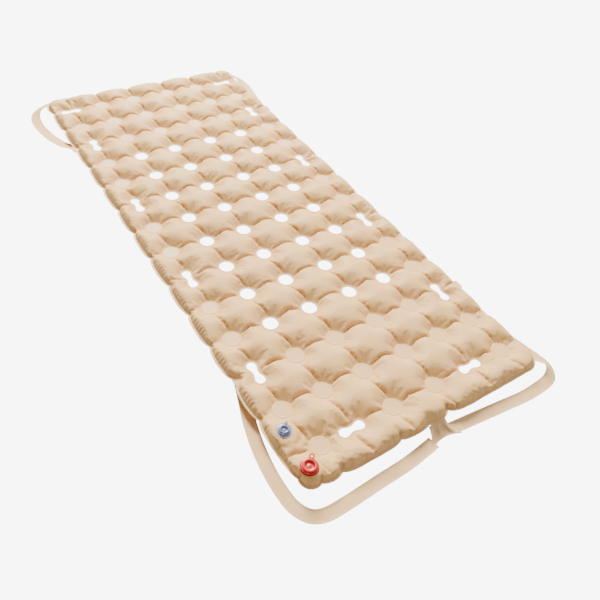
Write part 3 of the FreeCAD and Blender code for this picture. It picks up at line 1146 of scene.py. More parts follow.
@dataclass(frozen=True)
class Strap:
    """A flat band of doubled film that follows a route, with welded edges.

    Attributes:
        name: The piece's name.
        body: The CAD node that it stands for.
        route: Its points: across, along, up, and how far it is rolled over about its line, in degrees.
        mirrored: Whether it is turned over to the other side of the mattress.
        width: Its width.
        thickness: How thick it is between its welded edges.
        ripple: How high its ripples are.
        floor_gap: How far above the floor it keeps.
        bend_reach: How far outside its hinge it would give way when it is lifted; not used.
    """

    name: str
    body: str
    route: tuple[tuple[float, float, float, float], ...]
    mirrored: bool = False
    width: float = 0.038
    thickness: float = 0.0014
    ripple: float = 0.0006
    floor_gap: float = 0.0003
    bend_reach: float = 0.05

    def mesh(self) -> tuple[bpy.types.Object, float]:
        """Carries a thin flat section along the route.

        The section lies along the level direction square to the route, rolled about the route by its own
        angle. Low ripples, sums of sine waves along and across the band, keep it from being dead flat.

        Returns:
            The piece and its length.
        """
        line = smooth_route(np.array(self.route), 14)
        path, roll = line[:, :3], np.radians(line[:, 3])
        side, up = across_route(path)
        side, up = (
            side * np.cos(roll)[:, None] + up * np.sin(roll)[:, None],
            up * np.cos(roll)[:, None] - side * np.sin(roll)[:, None],
        )
        place = np.concatenate([[0], np.cumsum(np.linalg.norm(np.diff(path, axis=0), axis=1))])
        edge = np.array([-1, -0.98, -0.9, -0.86, -0.6, -0.3, 0, 0.3, 0.6, 0.86, 0.9, 0.98, 1])
        bead = np.array([0.3, 1.3, 1.3, 0.8, 1, 1, 1, 1, 1, 0.8, 1.3, 1.3, 0.3])
        across = np.concatenate([edge, edge[::-1]]) * self.width / 2
        lift = np.concatenate([bead, -bead[::-1]]) * self.thickness / 2
        wave = np.sin(place / 0.021)[:, None] * np.cos(across / 0.011)[None, :]
        wave = wave + 0.8 * np.sin(place[:, None] / 0.047 + across[None, :] / 0.016)
        rise = lift[None, :] + self.ripple * wave
        vertices = path[:, None, :] + side[:, None, :] * across[None, :, None]
        vertices = (vertices + up[:, None, :] * rise[:, :, None]).reshape(-1, 3)
        faces = ring_faces(len(path), len(across), closed=False)
        caps = [list(range(len(across))), list(range(len(vertices) - len(across), len(vertices)))]
        if self.mirrored:
            vertices = vertices * (-1, 1, 1)
        vertices[:, 2] = np.maximum(vertices[:, 2], self.floor_gap)
        return turned_out(mesh_object(self.name, vertices, faces.tolist() + caps)), float(place[-1])

    def build(self, finish: "Finish", rests_on: list[str]) -> None:
        """Makes the strap and says how large its film is.

        Args:
            finish: What it is made of.
            rests_on: The pieces that hold it up; not used.
        """
        piece, length = self.mesh()
        dressed(piece, [self.body], finish)
        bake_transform(piece)
        log.info("%s: %.0f mm long", self.name, length * 1000)


def turned(centre: Array, profile: Array, count: int) -> Array:
    """A profile turned about an upright axis.

    Each vertex is the axis plus the profile's radius in the direction of the turn, at the profile's height.

    Args:
        centre: The axis in plan.
        profile: Radii and heights.
        count: How many sides the turn has.

    Returns:
        The vertices, one profile after the other.
    """
    plan = centre + circle(1.0, count)[:, None, :] * profile[None, :, :1]
    return np.dstack([plan, np.broadcast_to(profile[:, 1], plan.shape[:2])]).reshape(-1, 3)


def revolved(centre: Array, profile: Array, count: int) -> tuple[Array, list]:
    """A profile turned about an upright axis, with flat ends where it starts and stops.

    Args:
        centre: The axis in plan.
        profile: Radii and heights from the underside round to the top.
        count: How many sides the turn has.

    Returns:
        The vertices and the faces.
    """
    across = len(profile)
    start = np.arange(count) * across
    ends = [start[::-1].tolist(), (start + across - 1).tolist()]
    return turned(centre, profile, count), without(ring_faces(count, across), across, {0, across - 1}) + ends


def swept(route: Array, width: float, thickness: float) -> tuple[Array, list]:
    """A narrow flat strip with round edges carried along a route, closed at both ends.

    Its section is a stretched circle with each coordinate raised to a power below 1, which squares it up.

    Args:
        route: The points that it follows.
        width: Its width.
        thickness: Its thickness.

    Returns:
        The vertices and the faces.
    """
    side, up = across_route(route)
    count, squareness = 16, 0.6
    turn = circle(1.0, count)
    section = np.sign(turn) * np.abs(turn) ** squareness * (width / 2, thickness / 2)
    vertices = route[:, None, :] + side[:, None, :] * section[None, :, :1]
    vertices = vertices + up[:, None, :] * section[None, :, 1:]
    faces = [face[::-1] for face in ring_faces(len(route), count, closed=False).tolist()]
    end = range((len(route) - 1) * count, len(route) * count)
    return vertices.reshape(-1, 3), faces + [list(range(count)), list(end)[::-1]]


class Pull(Enum):
    """What a plug is pulled out by."""

    RING = "finger ring"
    TAB = "ribbed tab"


@dataclass(frozen=True)
class Valve:
    """A push-in plug valve: a flange on the film, a neck with a rim, a dished plug, its pull and its tether.

    Attributes:
        prefix: The start of its CAD nodes' names.
        slot: The record's material slot; not used.
        pull_node: The CAD node that the plug is pulled by.
        pull_body: The body of that node.
        pull_kind: What that is.
        bore: The bore's radius.
        fit: How much smaller than the bore the plug's skirt is.
        dish: How deep the plug's dish is.
    """

    prefix: str
    slot: str
    pull_node: str
    pull_body: str
    pull_kind: Pull
    bore: float
    fit: float = 0.0004
    dish: float = 0.0052

    @property
    def centre(self) -> Array:
        """The valve's axis in plan."""
        return plan_middle(f"{self.prefix}_valve_flange")

    def radius(self, node: str) -> float:
        """Half the width of one of the valve's round nodes."""
        low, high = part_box(node)
        return (high.x - low.x) / 2

    def flange(self) -> bpy.types.Object:
        """The disc on the film: a low bead at its edge and a weld line inside it."""
        node = f"{self.prefix}_valve_flange"
        low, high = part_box(node)
        radius, thick = self.radius(node), high.z - low.z
        shares = [(0.0, 0.0), (0.98, 0.0), (1.0, 0.35), (0.99, 0.75), (0.95, 1.0), (0.9, 0.9), (0.87, 0.55)]
        shares += [(0.84, 0.55), (0.81, 0.9), (0.0, 0.95)]
        profile = np.array([(max(r, 0.3) * radius, low.z + h * thick) for r, h in shares])
        return merged(f"{self.prefix}_flange", [revolved(self.centre, profile, 48)])

    def body(self) -> bpy.types.Object:
        """The neck under the film and the rim above it, with a bore and a rounded lip."""
        node, count = f"{self.prefix}_valve_body", 56
        (low, high), flange_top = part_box(node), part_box(f"{self.prefix}_valve_flange")[1].z
        rim, bore = self.radius(node), self.bore
        neck, lip, under = (bore + rim) / 2, (high.z - flange_top) * 0.3, flange_top + 0.0004
        outline = [(bore, low.z), (neck, low.z), (neck, under), (rim - lip, under)]
        outline += [(rim, flange_top + lip), (rim, high.z - lip), (rim - lip / 3, high.z - lip / 3)]
        outline += [(rim - lip, high.z), (bore + lip, high.z), (bore, high.z - lip)]
        faces = ring_faces(count, len(outline))
        return merged(f"{self.prefix}_body", [(turned(self.centre, np.array(outline), count), faces)])

    def plug(self) -> bpy.types.Object:
        """The plug: a skirt in the bore, a round-edged head and a deep dish with a low dome in its middle."""
        node = f"{self.prefix}_plug"
        low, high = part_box(node)
        head, skirt = self.radius(node), self.bore - self.fit
        head_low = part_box(f"{self.prefix}_valve_body")[1].z + 0.0002
        thick, recess, dish = high.z - head_low, skirt * 0.95, high.z - self.dish
        outline = [(0.001, low.z), (skirt * 0.9, low.z), (skirt, low.z + 0.001), (skirt, head_low)]
        outline += [(head - 0.0008, head_low)]
        outline += [(head, head_low + thick * share) for share in (0.3, 0.62)]
        outline += [(head - 0.0008, high.z - 0.0003), (head - 0.002, high.z), (recess + 0.0016, high.z)]
        outline += [(recess + 0.0004, high.z - 0.0006), (recess, high.z - 0.0016)]
        outline += [(recess * 0.94, dish + 0.001)]
        outline += [(recess * 0.86, dish), (recess * 0.5, dish + 0.0004), (recess * 0.3, dish + 0.0013)]
        outline += [(0.0012, dish + 0.0016)]
        return merged(f"{self.prefix}_stopper", [revolved(self.centre, np.array(outline), 56)])

    def pull(self) -> bpy.types.Object:
        """What the plug is pulled by: a round finger ring on a short link, or a tab with three ribs."""
        low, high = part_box(self.pull_node)
        middle = plan_middle(self.pull_node)
        mid_z, thick = (low.z + high.z) / 2, (high.z - low.z) / 2
        out = self.outward(middle)
        if self.pull_kind is Pull.RING:
            tube, radius = 0.0021, 0.0058
            section = circle(1.0, 14) * (tube, thick)
            line = circle(radius, 44)
            shape = carried(line + middle + out * 0.0004, line / radius, section[::-1], mid_z)
            link = np.array([(*(middle - out * reach), mid_z) for reach in (0.0088, 0.0076, 0.0062, 0.005)])
            return merged("finger_ring", [shape, swept(link, 0.0062, thick * 1.7)])
        run = [(-0.0062, 0), (-0.003, 0), (0.0, 0.0002), (0.003, 0.0003), (0.0052, 0.0001), (0.006, -0.0001)]
        line = np.array([(*(middle + out * reach), mid_z + lift) for reach, lift in run])
        shapes = [swept(line, 0.0088, thick * 1.8)]
        across = np.array([-out[1], out[0]])
        for reach in (0.001, 0.0028, 0.0046):
            places = [middle + out * reach + across * offset for offset in (-0.003, 0.0, 0.003)]
            rib = [(*place, mid_z + thick) for place in places]
            shapes.append(swept(np.array(rib), 0.0008, 0.0007))
        return merged("pull_tab", shapes)

    def outward(self, point: Array) -> Array:
        """The unit vector in plan from the valve's axis towards a point."""
        away = point - self.centre
        return away / np.linalg.norm(away)

    def tether(self) -> bpy.types.Object:
        """The strip that keeps the plug on the valve: an arch, drawn as a parabola, from rim to head."""
        node = f"{self.prefix}_plug_tether"
        (low, high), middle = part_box(node), plan_middle(node)
        out = self.outward(middle)
        reach = (high.x - low.x) * 0.28
        steps = np.linspace(-1, 1, 9)
        plan = middle + out * (steps * reach)[:, None]
        height = (low.z + high.z) / 2 + 0.0006 * (1 - steps**2) - 0.0004 * steps
        return merged(f"{self.prefix}_tether", [swept(np.column_stack([plan, height]), 0.0046, 0.0012)])

    def build(self, finish: "Finish", flange_finish: "Finish") -> None:
        """Makes the valve's pieces and places each but the tether on its body.

        Args:
            finish: What the valve is made of.
            flange_finish: What its flange is made of.
        """
        placed(self.flange(), "mattress", [f"{self.prefix}_valve_flange"], flange_finish)
        placed(self.body(), "mattress", [f"{self.prefix}_valve_body"], finish)
        placed(self.plug(), f"{self.prefix}_plug", [f"{self.prefix}_plug"], finish)
        placed(self.pull(), self.pull_body, [self.pull_node], finish)
        tether = self.tether()
        dressed(tether, [f"{self.prefix}_plug_tether"], finish)
        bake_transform(tether)


@dataclass(frozen=True)
class FootGusset:
    """The fan of film at the middle of the foot edge, where both foot straps come out from under the seam.

    Attributes:
        half_top: Half its width at the seam.
        half_bottom: Half its width at the floor.
        thickness: How thick it is.
        tuck: How far it reaches under the seam.
        fold_height: How high its folds are.
        slack: How much longer the film is than the fan is deep.
        filled: How much of the sheet's four-sided outline the fan fills.
    """

    half_top: float = 0.030
    half_bottom: float = 0.058
    thickness: float = 0.0012
    tuck: float = 0.006
    fold_height: float = 0.0030
    # slack: How much longer the film is than the fan is deep; not used.
    slack: float = 1.25
    # filled: How much of the sheet's four-sided outline the fan fills; not used.
    filled: float = 0.72

    def build(self, finish: "Finish") -> None:
        """Makes the fan as a surface from the seam down to the floor, with folds that fade at both ends.

        From the seam down, its height is a power of the share left and its half width rises as a power of the
        share gone. The folds are a cosine wave across it, times a parabola down it. Its lower edge is drawn
        in towards the seam in the middle, as a parabola.

        Args:
            finish: What it is made of.
        """
        low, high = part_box("foot_strap_tab")
        across, down = np.meshgrid(np.linspace(-1, 1, 33), np.linspace(0, 1, 21), indexing="ij")
        half = self.half_top + (self.half_bottom - self.half_top) * down**1.8
        x = across * half
        start, end = high.y + self.tuck, low.y + 0.004
        y = start - (start - end) * down * (0.70 + 0.27 * across**2)
        fold = np.cos(2.6 * math.pi * across + 0.6) * down * (1 - down) * 4
        lowest, steepness = 0.0014, 1.7
        z = lowest + (high.z - self.fold_height) * (1 - down) ** steepness
        z = z + self.fold_height * np.clip(fold, -0.25, 1)
        top = np.stack([x, y, z], axis=-1).reshape(-1, 3)
        count = len(top)
        index = np.arange(count).reshape(across.shape)
        corner = [index[:-1, :-1], index[1:, :-1], index[1:, 1:], index[:-1, 1:]]
        quads = np.stack([part.ravel() for part in corner], axis=1)
        rim = np.concatenate([index[:, 0], index[-1, 1:], index[-2::-1, -1], index[0, -2:0:-1]])
        wall = np.stack([rim, rim + count, np.roll(rim, -1) + count, np.roll(rim, -1)], axis=1)
        bottom = top - (0, 0, self.thickness)
        bottom[:, 2] = np.maximum(bottom[:, 2], 0.0003)
        faces = np.concatenate([quads[:, ::-1], quads + count, wall[:, ::-1]])
        piece = turned_out(mesh_object("foot_strap_gusset", np.vstack([top, bottom]), faces))
        placed(piece, "mattress", ["foot_strap_tab"], finish)


@dataclass(frozen=True)
class StrapEnds:
    """The doubled ends of the straps, welded flat to the side and head seams.

    Attributes:
        width: A strap's width.
        length: How long a doubled end is.
        half_thickness: Half its thickness.
        on_seam: How far inside the seam's outer edge its middle is.
        side_inset: How much further in it is at a side.
        drawn_in: The same at the foot's left, where the seam is drawn in.
        corner_gap: How far a head end stands in from the tab's outer side.
    """

    width: float = 0.038
    length: float = 0.030
    half_thickness: float = 0.0011
    on_seam: float = 0.005
    side_inset: float = 0.004
    drawn_in: float = 0.022
    corner_gap: float = 0.010

    def patch(self, x: float, y: float, z: float, out: tuple[float, float]) -> tuple[Array, list]:
        """A rounded patch over the seam: a square with its corners drawn in, and a welded bead round it.

        Its outline is a circle with each coordinate raised to a power below 1, which squares it up.

        Args:
            x: Where its middle is, across.
            y: Where its middle is, along.
            z: Its height.
            out: The unit direction away from the mattress.

        Returns:
            The vertices and the faces.
        """
        turn, squareness, border, bead = circle(1.0, 48), 0.36, 0.004, 0.5
        square = np.sign(turn) * np.abs(turn) ** squareness
        side = np.array([-out[1], out[0]])
        line = square[:, :1] * np.array(out) * self.length / 2 + square[:, 1:] * side * self.width / 2
        section = rounded_section(-border, 0.0, self.half_thickness, bead)
        return plate(line + (x, y), -inward_normals(line), section, z)

    def build(self, finish: "Finish") -> None:
        """Makes the patches and hides the CAD nodes that they stand for.

        Args:
            finish: What they are made of.
        """
        seam_low, seam_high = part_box("perimeter_seam")
        mid_z = (seam_low.z + seam_high.z) / 2
        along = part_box("side_strap_tabs")[1].y - self.width / 2
        side_x, head_y = seam_high.x - self.on_seam, seam_high.y - self.on_seam
        sides = []
        for sx, sy in ((-1, -1), (-1, 1), (1, -1), (1, 1)):
            inset = self.drawn_in if sx + sy == -2 else self.side_inset
            sides.append(self.patch(sx * (side_x - inset), sy * along, mid_z, (sx, 0.0)))
        placed(merged("side_strap_ends", sides), "mattress", ["side_strap_tabs"], finish)
        head_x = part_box("head_strap_tabs")[1].x - self.width / 2 - self.corner_gap
        heads = [self.patch(sx * head_x, head_y, mid_z, (0.0, 1.0)) for sx in (-1, 1)]
        placed(merged("head_strap_ends", heads), "mattress", ["head_strap_tabs"], finish)


def node_group(name: str, inputs: dict[str, float], outputs: dict[str, str]) -> bpy.types.NodeTree:
    """An empty shader group with number inputs and named outputs.

    Args:
        name: The group's name.
        inputs: Each input's name and usual value.
        outputs: Each output's name and socket type.

    Returns:
        The group.
    """
    group = bpy.data.node_groups.new(name, "ShaderNodeTree")
    for label, value in inputs.items():
        socket = group.interface.new_socket(label, in_out="INPUT", socket_type="NodeSocketFloat")
        socket.default_value = value
    for label, kind in outputs.items():
        group.interface.new_socket(label, in_out="OUTPUT", socket_type=kind)
    return group


def coated_weave() -> bpy.types.NodeTree:
    """The fine woven ground that shows through a coated film, with shallow creases over it.

    The height is the product of two crossed wave patterns, made faint, plus noise for the creases.

    Returns:
        The group, made once.
    """
    found = bpy.data.node_groups.get("coated weave")
    if found:
        return found
    group = node_group("coated weave", {"Threads": 900.0, "Creases": 0.5}, {"Height": "NodeSocketFloat"})
    nodes, links = group.nodes, group.links
    entry, end = nodes.new("NodeGroupInput"), nodes.new("NodeGroupOutput")
    place, crossed = nodes.new("ShaderNodeTexCoord"), nodes.new("ShaderNodeMath")
    crossed.operation = "MULTIPLY"
    for number, direction in enumerate(("X", "Y")):
        wave = nodes.new("ShaderNodeTexWave")
        wave.bands_direction = direction
        wave.inputs["Distortion"].default_value = 0.4
        links.new(place.outputs["Object"], wave.inputs["Vector"])
        links.new(entry.outputs["Threads"], wave.inputs["Scale"])
        links.new(wave.outputs["Fac"], crossed.inputs[number])
    creases = nodes.new("ShaderNodeTexNoise")
    creases.inputs["Scale"].default_value = 26
    creases.inputs["Detail"].default_value = 5
    creases.inputs["Distortion"].default_value = 1.4
    links.new(place.outputs["Object"], creases.inputs["Vector"])
    fold = nodes.new("ShaderNodeMath")
    fold.operation = "MULTIPLY"
    links.new(creases.outputs["Fac"], fold.inputs[0])
    links.new(entry.outputs["Creases"], fold.inputs[1])
    weave = nodes.new("ShaderNodeMath")
    weave.operation = "MULTIPLY_ADD"
    weave.inputs[1].default_value = 0.035
    links.new(crossed.outputs[0], weave.inputs[0])
    links.new(fold.outputs[0], weave.inputs[2])
    links.new(weave.outputs[0], end.inputs["Height"])
    return group


def two_tone() -> bpy.types.NodeTree:
    """Soft uneven colour: a mask from 0 to 1 that drifts slowly over the surface, with a faint speckle.

    Returns:
        The group, made once.
    """
    found = bpy.data.node_groups.get("two tone")
    if found:
        return found
    group = node_group("two tone", {"Scale": 7.0, "Speckle": 0.25}, {"Mask": "NodeSocketFloat"})
    nodes, links = group.nodes, group.links
    entry, end = nodes.new("NodeGroupInput"), nodes.new("NodeGroupOutput")
    place = nodes.new("ShaderNodeTexCoord")
    drift, speckle = nodes.new("ShaderNodeTexNoise"), nodes.new("ShaderNodeTexNoise")
    drift.inputs["Detail"].default_value = 3
    speckle.inputs["Scale"].default_value = 420
    for noise in (drift, speckle):
        links.new(place.outputs["Object"], noise.inputs["Vector"])
    links.new(entry.outputs["Scale"], drift.inputs["Scale"])
    contrast = nodes.new("ShaderNodeMapRange")
    contrast.inputs["From Min"].default_value = 0.36
    contrast.inputs["From Max"].default_value = 0.64
    links.new(drift.outputs["Fac"], contrast.inputs["Value"])
    mixed = nodes.new("ShaderNodeMix")
    links.new(entry.outputs["Speckle"], mixed.inputs["Factor"])
    links.new(contrast.outputs["Result"], mixed.inputs["A"])
    links.new(speckle.outputs["Fac"], mixed.inputs["B"])
    links.new(mixed.outputs["Result"], end.inputs["Mask"])
    return group


Colour = tuple[float, float, float]


@dataclass(frozen=True)
class Finish:
    """Something that a piece is made of.

    Attributes:
        name: The material's name.
    """

    name: str

    def material(self) -> bpy.types.Material:
        """The finish as a material, made once."""
        found = bpy.data.materials.get(self.name)
        if found:
            return found
        material = bpy.data.materials.new(self.name)
        material.use_nodes = True
        self.wire(material.node_tree.nodes, material.node_tree.links)
        return material

    def wire(self, nodes: bpy.types.Nodes, links: bpy.types.NodeLinks) -> None:
        """Puts in the material's nodes."""
        raise NotImplementedError

    @staticmethod
    def toned(
        nodes: bpy.types.Nodes,
        links: bpy.types.NodeLinks,
        colours: tuple[Colour, Colour],
        roughness: tuple[float, float],
    ) -> tuple[bpy.types.Node, bpy.types.NodeSocket]:
        """Two colours that drift into each other, and a roughness that follows them.

        Args:
            nodes: The material's nodes.
            links: Its links.
            colours: The two colours.
            roughness: How rough each is.

        Returns:
            The mask's node and the colour's socket.
        """
        tone, colour = nodes.new("ShaderNodeGroup"), nodes.new("ShaderNodeMix")
        tone.node_tree = two_tone()
        colour.data_type = "RGBA"
        colour.inputs["A"].default_value = (*colours[0], 1)
        colour.inputs["B"].default_value = (*colours[1], 1)
        links.new(tone.outputs["Mask"], colour.inputs["Factor"])
        gloss = nodes.new("ShaderNodeMapRange")
        gloss.inputs["To Min"].default_value = roughness[0]
        gloss.inputs["To Max"].default_value = roughness[1]
        links.new(tone.outputs["Mask"], gloss.inputs["Value"])
        links.new(gloss.outputs["Result"], nodes["Principled BSDF"].inputs["Roughness"])
        return tone, colour.outputs["Result"]


@dataclass(frozen=True)
class CoatedFilm(Finish):
    """Vinyl-coated film in two beige tones, with a fine weave, shallow creases and painted shade in the
    folds.

    Attributes:
        warm: The pinker of its two tones.
        pale: The yellower one.
        creases: How strongly the shallow creases show.
        roughness: How matt it is where it is least glossy.
        tone_scale: How small its patches of tone are.
        threads: How fine the weave is.
        folded: The painted shade colour deep in a fold, standing in for the shade that falls there.
    """

    warm: Colour
    pale: Colour
    creases: float = 0.5
    roughness: float = 0.6
    tone_scale: float = 7.0
    threads: float = 900.0
    folded: Colour = (0.40, 0.19, 0.065)

    def wire(self, nodes: bpy.types.Nodes, links: bpy.types.NodeLinks) -> None:
        """Paints shade into the folds, and lets the weave raise the surface a little.

        Args:
            nodes: The material's nodes.
            links: Its links.
        """
        shader = nodes["Principled BSDF"]
        shader.inputs["Sheen Weight"].default_value = 0.05
        shader.inputs["Sheen Roughness"].default_value = 0.4
        shader.inputs["Specular IOR Level"].default_value = 0.16
        roughness = (self.roughness, self.roughness - 0.12)
        tone, colour = self.toned(nodes, links, (self.warm, self.pale), roughness)
        tone.inputs["Scale"].default_value = self.tone_scale
        # Painted shade: the colour darkens towards the folded colour where the vertex lies deep in a fold.
        fold, fold_shade_mix = nodes.new("ShaderNodeAttribute"), nodes.new("ShaderNodeMix")
        fold.attribute_name = "fold"
        fold_shade_mix.data_type = "RGBA"
        fold_shade_mix.inputs["B"].default_value = (*self.folded, 1)
        links.new(fold.outputs["Fac"], fold_shade_mix.inputs["Factor"])
        links.new(colour, fold_shade_mix.inputs["A"])
        links.new(fold_shade_mix.outputs["Result"], shader.inputs["Base Color"])
        weave, bump = nodes.new("ShaderNodeGroup"), nodes.new("ShaderNodeBump")
        weave.node_tree = coated_weave()
        weave.inputs["Threads"].default_value = self.threads
        weave.inputs["Creases"].default_value = self.creases
        bump.inputs["Strength"].default_value = 0.35
        bump.inputs["Distance"].default_value = 0.004
        links.new(weave.outputs["Height"], bump.inputs["Height"])
        links.new(bump.outputs["Normal"], shader.inputs["Normal"])


@dataclass(frozen=True)
class MouldedVinyl(Finish):
    """Soft moulded vinyl: glossy, with a slight unevenness, and clear or opaque.

    Attributes:
        bright: Its colour.
        deep: The colour where it is thicker or worn.
        clear: How much light it lets through.
        roughness: How matt it is where it is glossiest.
    """

    bright: Colour
    deep: Colour
    clear: float = 0.0
    roughness: float = 0.22

    def wire(self, nodes: bpy.types.Nodes, links: bpy.types.NodeLinks) -> None:
        """Lets light through where it is clear, and adds a thin glossy coat and a slight unevenness.

        Args:
            nodes: The material's nodes.
            links: Its links.
        """
        shader = nodes["Principled BSDF"]
        shader.inputs["Transmission Weight"].default_value = self.clear
        shader.inputs["Coat Weight"].default_value = 0.2
        shader.inputs["Coat Roughness"].default_value = 0.12
        shader.inputs["IOR"].default_value = 1.52
        roughness = (self.roughness, self.roughness + 0.14)
        tone, colour = self.toned(nodes, links, (self.bright, self.deep), roughness)
        tone.inputs["Scale"].default_value = 160
        tone.inputs["Speckle"].default_value = 0.15
        links.new(colour, shader.inputs["Base Color"])
        bump = nodes.new("ShaderNodeBump")
        bump.inputs["Strength"].default_value = 0.08
        bump.inputs["Distance"].default_value = 0.0006
        links.new(tone.outputs["Mask"], bump.inputs["Height"])
        links.new(bump.outputs["Normal"], shader.inputs["Normal"])


FILM = CoatedFilm("beige film", warm=(0.84, 0.475, 0.195), pale=(0.84, 0.51, 0.175))
WELDED = CoatedFilm(
    "welded film", warm=(0.88, 0.530, 0.245), pale=(0.88, 0.545, 0.235), creases=0.12, roughness=0.5
)
BAND = CoatedFilm(
    "strap film", warm=(0.88, 0.535, 0.255), pale=(0.87, 0.555, 0.235), creases=0.8, tone_scale=18
)
CLEAR = MouldedVinyl("clear vinyl", bright=(0.52, 0.54, 0.76), deep=(0.20, 0.22, 0.46), clear=0.5)
CLEAR_FILM = MouldedVinyl(
    "clear film", bright=(0.90, 0.80, 0.72), deep=(0.86, 0.80, 0.78), clear=0.6, roughness=0.3
)
RED = MouldedVinyl("red vinyl", bright=(0.70, 0.014, 0.001), deep=(0.50, 0.005, 0.001), roughness=0.36)


@dataclass(frozen=True)
class Studio:
    """The pale floor, the soft lights and the camera.

    Attributes:
        place: Where the camera is.
        right: The direction that its picture's right side points in.
        up: The same of the picture's top.
        back: The direction away from what it sees.
        lens: Its focal length in millimetres.
        floor_size: Half the floor's width.
        floor_glow: How bright the camera sees the floor.
        glow_share: How much of what it sees of the floor is that.
        sky_light: How strongly the world lights the mattress.
        sky_seen: How bright the camera sees it.
    """

    place: tuple[float, float, float] = (-0.93624, -1.48492, 1.39371)
    right: tuple[float, float, float] = (0.8343, -0.5404, 0.1090)
    up: tuple[float, float, float] = (0.3270, 0.6444, 0.6913)
    back: tuple[float, float, float] = (-0.4438, -0.5411, 0.7143)
    lens: float = 36.35
    floor_size: float = 14.0
    floor_glow: float = 9.0
    glow_share: float = 0.86
    sky_light: float = 0.44
    sky_seen: float = 8.0

    def build(self) -> None:
        """Makes the floor, the world, the lights and the camera."""
        self.floor()
        self.world()
        self.light("key", (2.6, 6.2, 5.6), 2.8, 2900.0, (1.0, 0.985, 0.96))
        self.light("side", (3.2, -1.2, 2.4), 2.0, 55.0, (1.0, 1.0, 1.0))
        self.camera()

    def floor(self) -> None:
        """A wide floor. It lights the mattress as a mid-grey one, and the camera sees it almost white."""
        ways = ((-1, -1, 0), (1, -1, 0), (1, 1, 0), (-1, 1, 0))
        corners = np.array(ways) * self.floor_size
        floor = mesh_object("floor", corners, [[0, 1, 2, 3]])
        material = bpy.data.materials.new("pale floor")
        material.use_nodes = True
        nodes, links = material.node_tree.nodes, material.node_tree.links
        shader = nodes["Principled BSDF"]
        shader.inputs["Base Color"].default_value = (0.5, 0.5, 0.5, 1)
        shader.inputs["Roughness"].default_value = 0.9
        shader.inputs["Specular IOR Level"].default_value = 0.1
        glow, path = nodes.new("ShaderNodeEmission"), nodes.new("ShaderNodeLightPath")
        seen, mix = nodes.new("ShaderNodeMath"), nodes.new("ShaderNodeMixShader")
        glow.inputs["Strength"].default_value = self.floor_glow
        seen.operation = "MULTIPLY"
        seen.inputs[1].default_value = self.glow_share
        links.new(path.outputs["Is Camera Ray"], seen.inputs[0])
        links.new(seen.outputs[0], mix.inputs["Fac"])
        links.new(shader.outputs[0], mix.inputs[1])
        links.new(glow.outputs[0], mix.inputs[2])
        links.new(mix.outputs[0], nodes["Material Output"].inputs["Surface"])
        floor.data.materials.append(material)

    def world(self) -> None:
        """Even white light from all round, which the camera sees as a brighter white."""
        world = bpy.data.worlds.new("studio")
        world.use_nodes = True
        nodes, links = world.node_tree.nodes, world.node_tree.links
        light, seen = nodes["Background"], nodes.new("ShaderNodeBackground")
        path, mix = nodes.new("ShaderNodeLightPath"), nodes.new("ShaderNodeMixShader")
        light.inputs["Color"].default_value = (1.0, 0.995, 0.985, 1)
        light.inputs["Strength"].default_value = self.sky_light
        seen.inputs["Color"].default_value = (1.0, 1.0, 1.0, 1)
        seen.inputs["Strength"].default_value = self.sky_seen
        links.new(path.outputs["Is Camera Ray"], mix.inputs["Fac"])
        links.new(light.outputs[0], mix.inputs[1])
        links.new(seen.outputs[0], mix.inputs[2])
        links.new(mix.outputs[0], nodes["World Output"].inputs["Surface"])
        bpy.context.scene.world = world

    def light(
        self, name: str, place: tuple[float, float, float], size: float, power: float, colour: Colour
    ) -> None:
        """A square soft light that faces the middle of the mattress.

        Args:
            name: Its name.
            place: Where it is.
            size: The length of its side.
            power: Its power in watts.
            colour: Its colour.
        """
        lamp = bpy.data.lights.new(name, "AREA")
        lamp.size, lamp.energy, lamp.color = size, power, colour
        light = bpy.data.objects.new(name, lamp)
        light.location = place
        light.rotation_euler = (-Vector(place)).to_track_quat("-Z", "Y").to_euler()
        bpy.context.scene.collection.objects.link(light)

    def camera(self) -> None:
        """The camera, high over the foot's left corner, with a sensor 36 mm wide."""
        lens = bpy.data.cameras.new("camera")
        lens.lens, lens.sensor_width = self.lens, 36.0
        camera = bpy.data.objects.new("camera", lens)
        columns = (Vector(self.right), Vector(self.up), Vector(self.back), Vector(self.place))
        camera.matrix_world = Matrix([[*row] for row in zip(*columns)] + [[0, 0, 0, 1]])
        bpy.context.scene.collection.objects.link(camera)
        bpy.context.scene.camera = camera


def build_films(grid: WeldGrid, seam: Seam) -> None:
    """Lays out, inflates and closes the two films.

    Args:
        grid: The weld grid.
        seam: The edge seam's line.
    """
    film = Film(grid, seam, Creases(grid))
    sheet = film.flat()
    sheet, upper = film.folded(*film.refined(sheet, film.inflate(sheet)))
    skin = closed_film("mattress_films", sheet, upper)
    placed(skin, "mattress", ["top_sheet", "valve_panel", "bottom_sheet"], FILM)


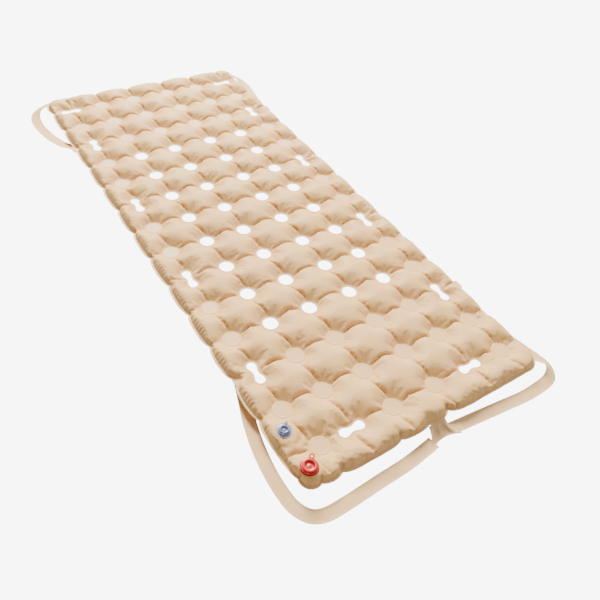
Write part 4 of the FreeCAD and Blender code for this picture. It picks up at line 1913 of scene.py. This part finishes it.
def build_straps() -> None:
    """Makes the four straps and what holds their ends."""
    end_z = (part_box("perimeter_seam")[0].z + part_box("perimeter_seam")[1].z) / 2
    flat_z = 0.0012
    foot_left = (
        (-0.402, -0.628, end_z, 0), (-0.410, -0.655, 0.017, 6), (-0.422, -0.695, 0.008, 8),
        (-0.439, -0.750, 0.0030, 3), (-0.456, -0.822, flat_z, 0), (-0.466, -0.895, flat_z, 0),
        (-0.468, -0.960, flat_z, 0), (-0.462, -1.010, flat_z, 0), (-0.440, -1.047, flat_z, 0),
        (-0.403, -1.063, flat_z, 0), (-0.341, -1.064, flat_z, 0), (-0.242, -1.060, flat_z, 0),
        (-0.136, -1.056, flat_z, 0), (-0.036, -1.044, 0.0025, 2),
    )
    foot_right = (
        (-0.414, -0.632, end_z, 0), (-0.417, -0.662, 0.017, 6), (-0.422, -0.715, 0.008, 6),
        (-0.429, -0.800, 0.0030, 2), (-0.437, -0.880, flat_z, 0), (-0.448, -0.940, flat_z, 0),
        (-0.459, -0.984, 0.0030, -12), (-0.461, -1.018, 0.0075, -34), (-0.441, -1.045, 0.0060, -24),
        (-0.405, -1.058, 0.0025, -6), (-0.315, -1.061, flat_z, 0), (-0.216, -1.052, flat_z, 0),
        (-0.133, -1.044, flat_z, 0), (-0.036, -1.035, 0.0025, 2),
    )
    head_left = (
        (-0.418, 0.636, end_z, 0), (-0.434, 0.672, 0.015, -8), (-0.455, 0.718, 0.0045, -4),
        (-0.479, 0.790, flat_z, 0), (-0.493, 0.868, flat_z, 0), (-0.493, 0.930, 0.0030, 8),
        (-0.479, 0.975, 0.0070, 20), (-0.452, 0.999, 0.0125, 24), (-0.418, 1.006, 0.0185, 14),
        (-0.386, 0.996, end_z, 6),
    )
    head_right = (
        (-0.418, 0.636, end_z, 0), (-0.426, 0.680, 0.014, -8), (-0.442, 0.750, 0.0045, -4),
        (-0.460, 0.833, flat_z, 0), (-0.470, 0.900, 0.0030, 6), (-0.466, 0.950, 0.0070, 18),
        (-0.447, 0.985, 0.0125, 22), (-0.418, 1.000, 0.0185, 14), (-0.386, 0.996, end_z, 6),
    )
    straps = (
        Strap("foot_band_left", "foot_strap_left", foot_left),
        Strap("foot_band_right", "foot_strap_right", foot_right, mirrored=True),
        Strap("head_band_left", "head_strap_left", head_left),
        Strap("head_band_right", "head_strap_right", head_right, mirrored=True),
    )
    for strap in straps:
        strap.build(BAND, ["edge_seam"])
    FootGusset().build(BAND)
    StrapEnds().build(WELDED)


def main() -> None:
    """Builds the mattress, piece by piece."""
    logging.basicConfig(level=logging.INFO)
    grid, seam = WeldGrid(), Seam()
    Studio().build()
    build_films(grid, seam)
    Welds(grid, seam).build(WELDED)
    build_straps()
    clear = Valve("inflation", "clear_valve", "inflation_plug_tab", "inflation_tab", Pull.TAB, bore=0.0092)
    clear.build(CLEAR, CLEAR_FILM)
    red = Valve("deflation", "red_valve", "deflation_pull_ring", "pull_ring", Pull.RING, bore=0.0132)
    red.build(RED, RED)
    flap = frame["nodes"]["inflation_check_flap"]
    flap.data.materials.clear()
    flap.data.materials.append(CLEAR.material())
    log.info("%s: dressed as the CAD has it", flap.name)


if __name__ == "__main__":
    main()
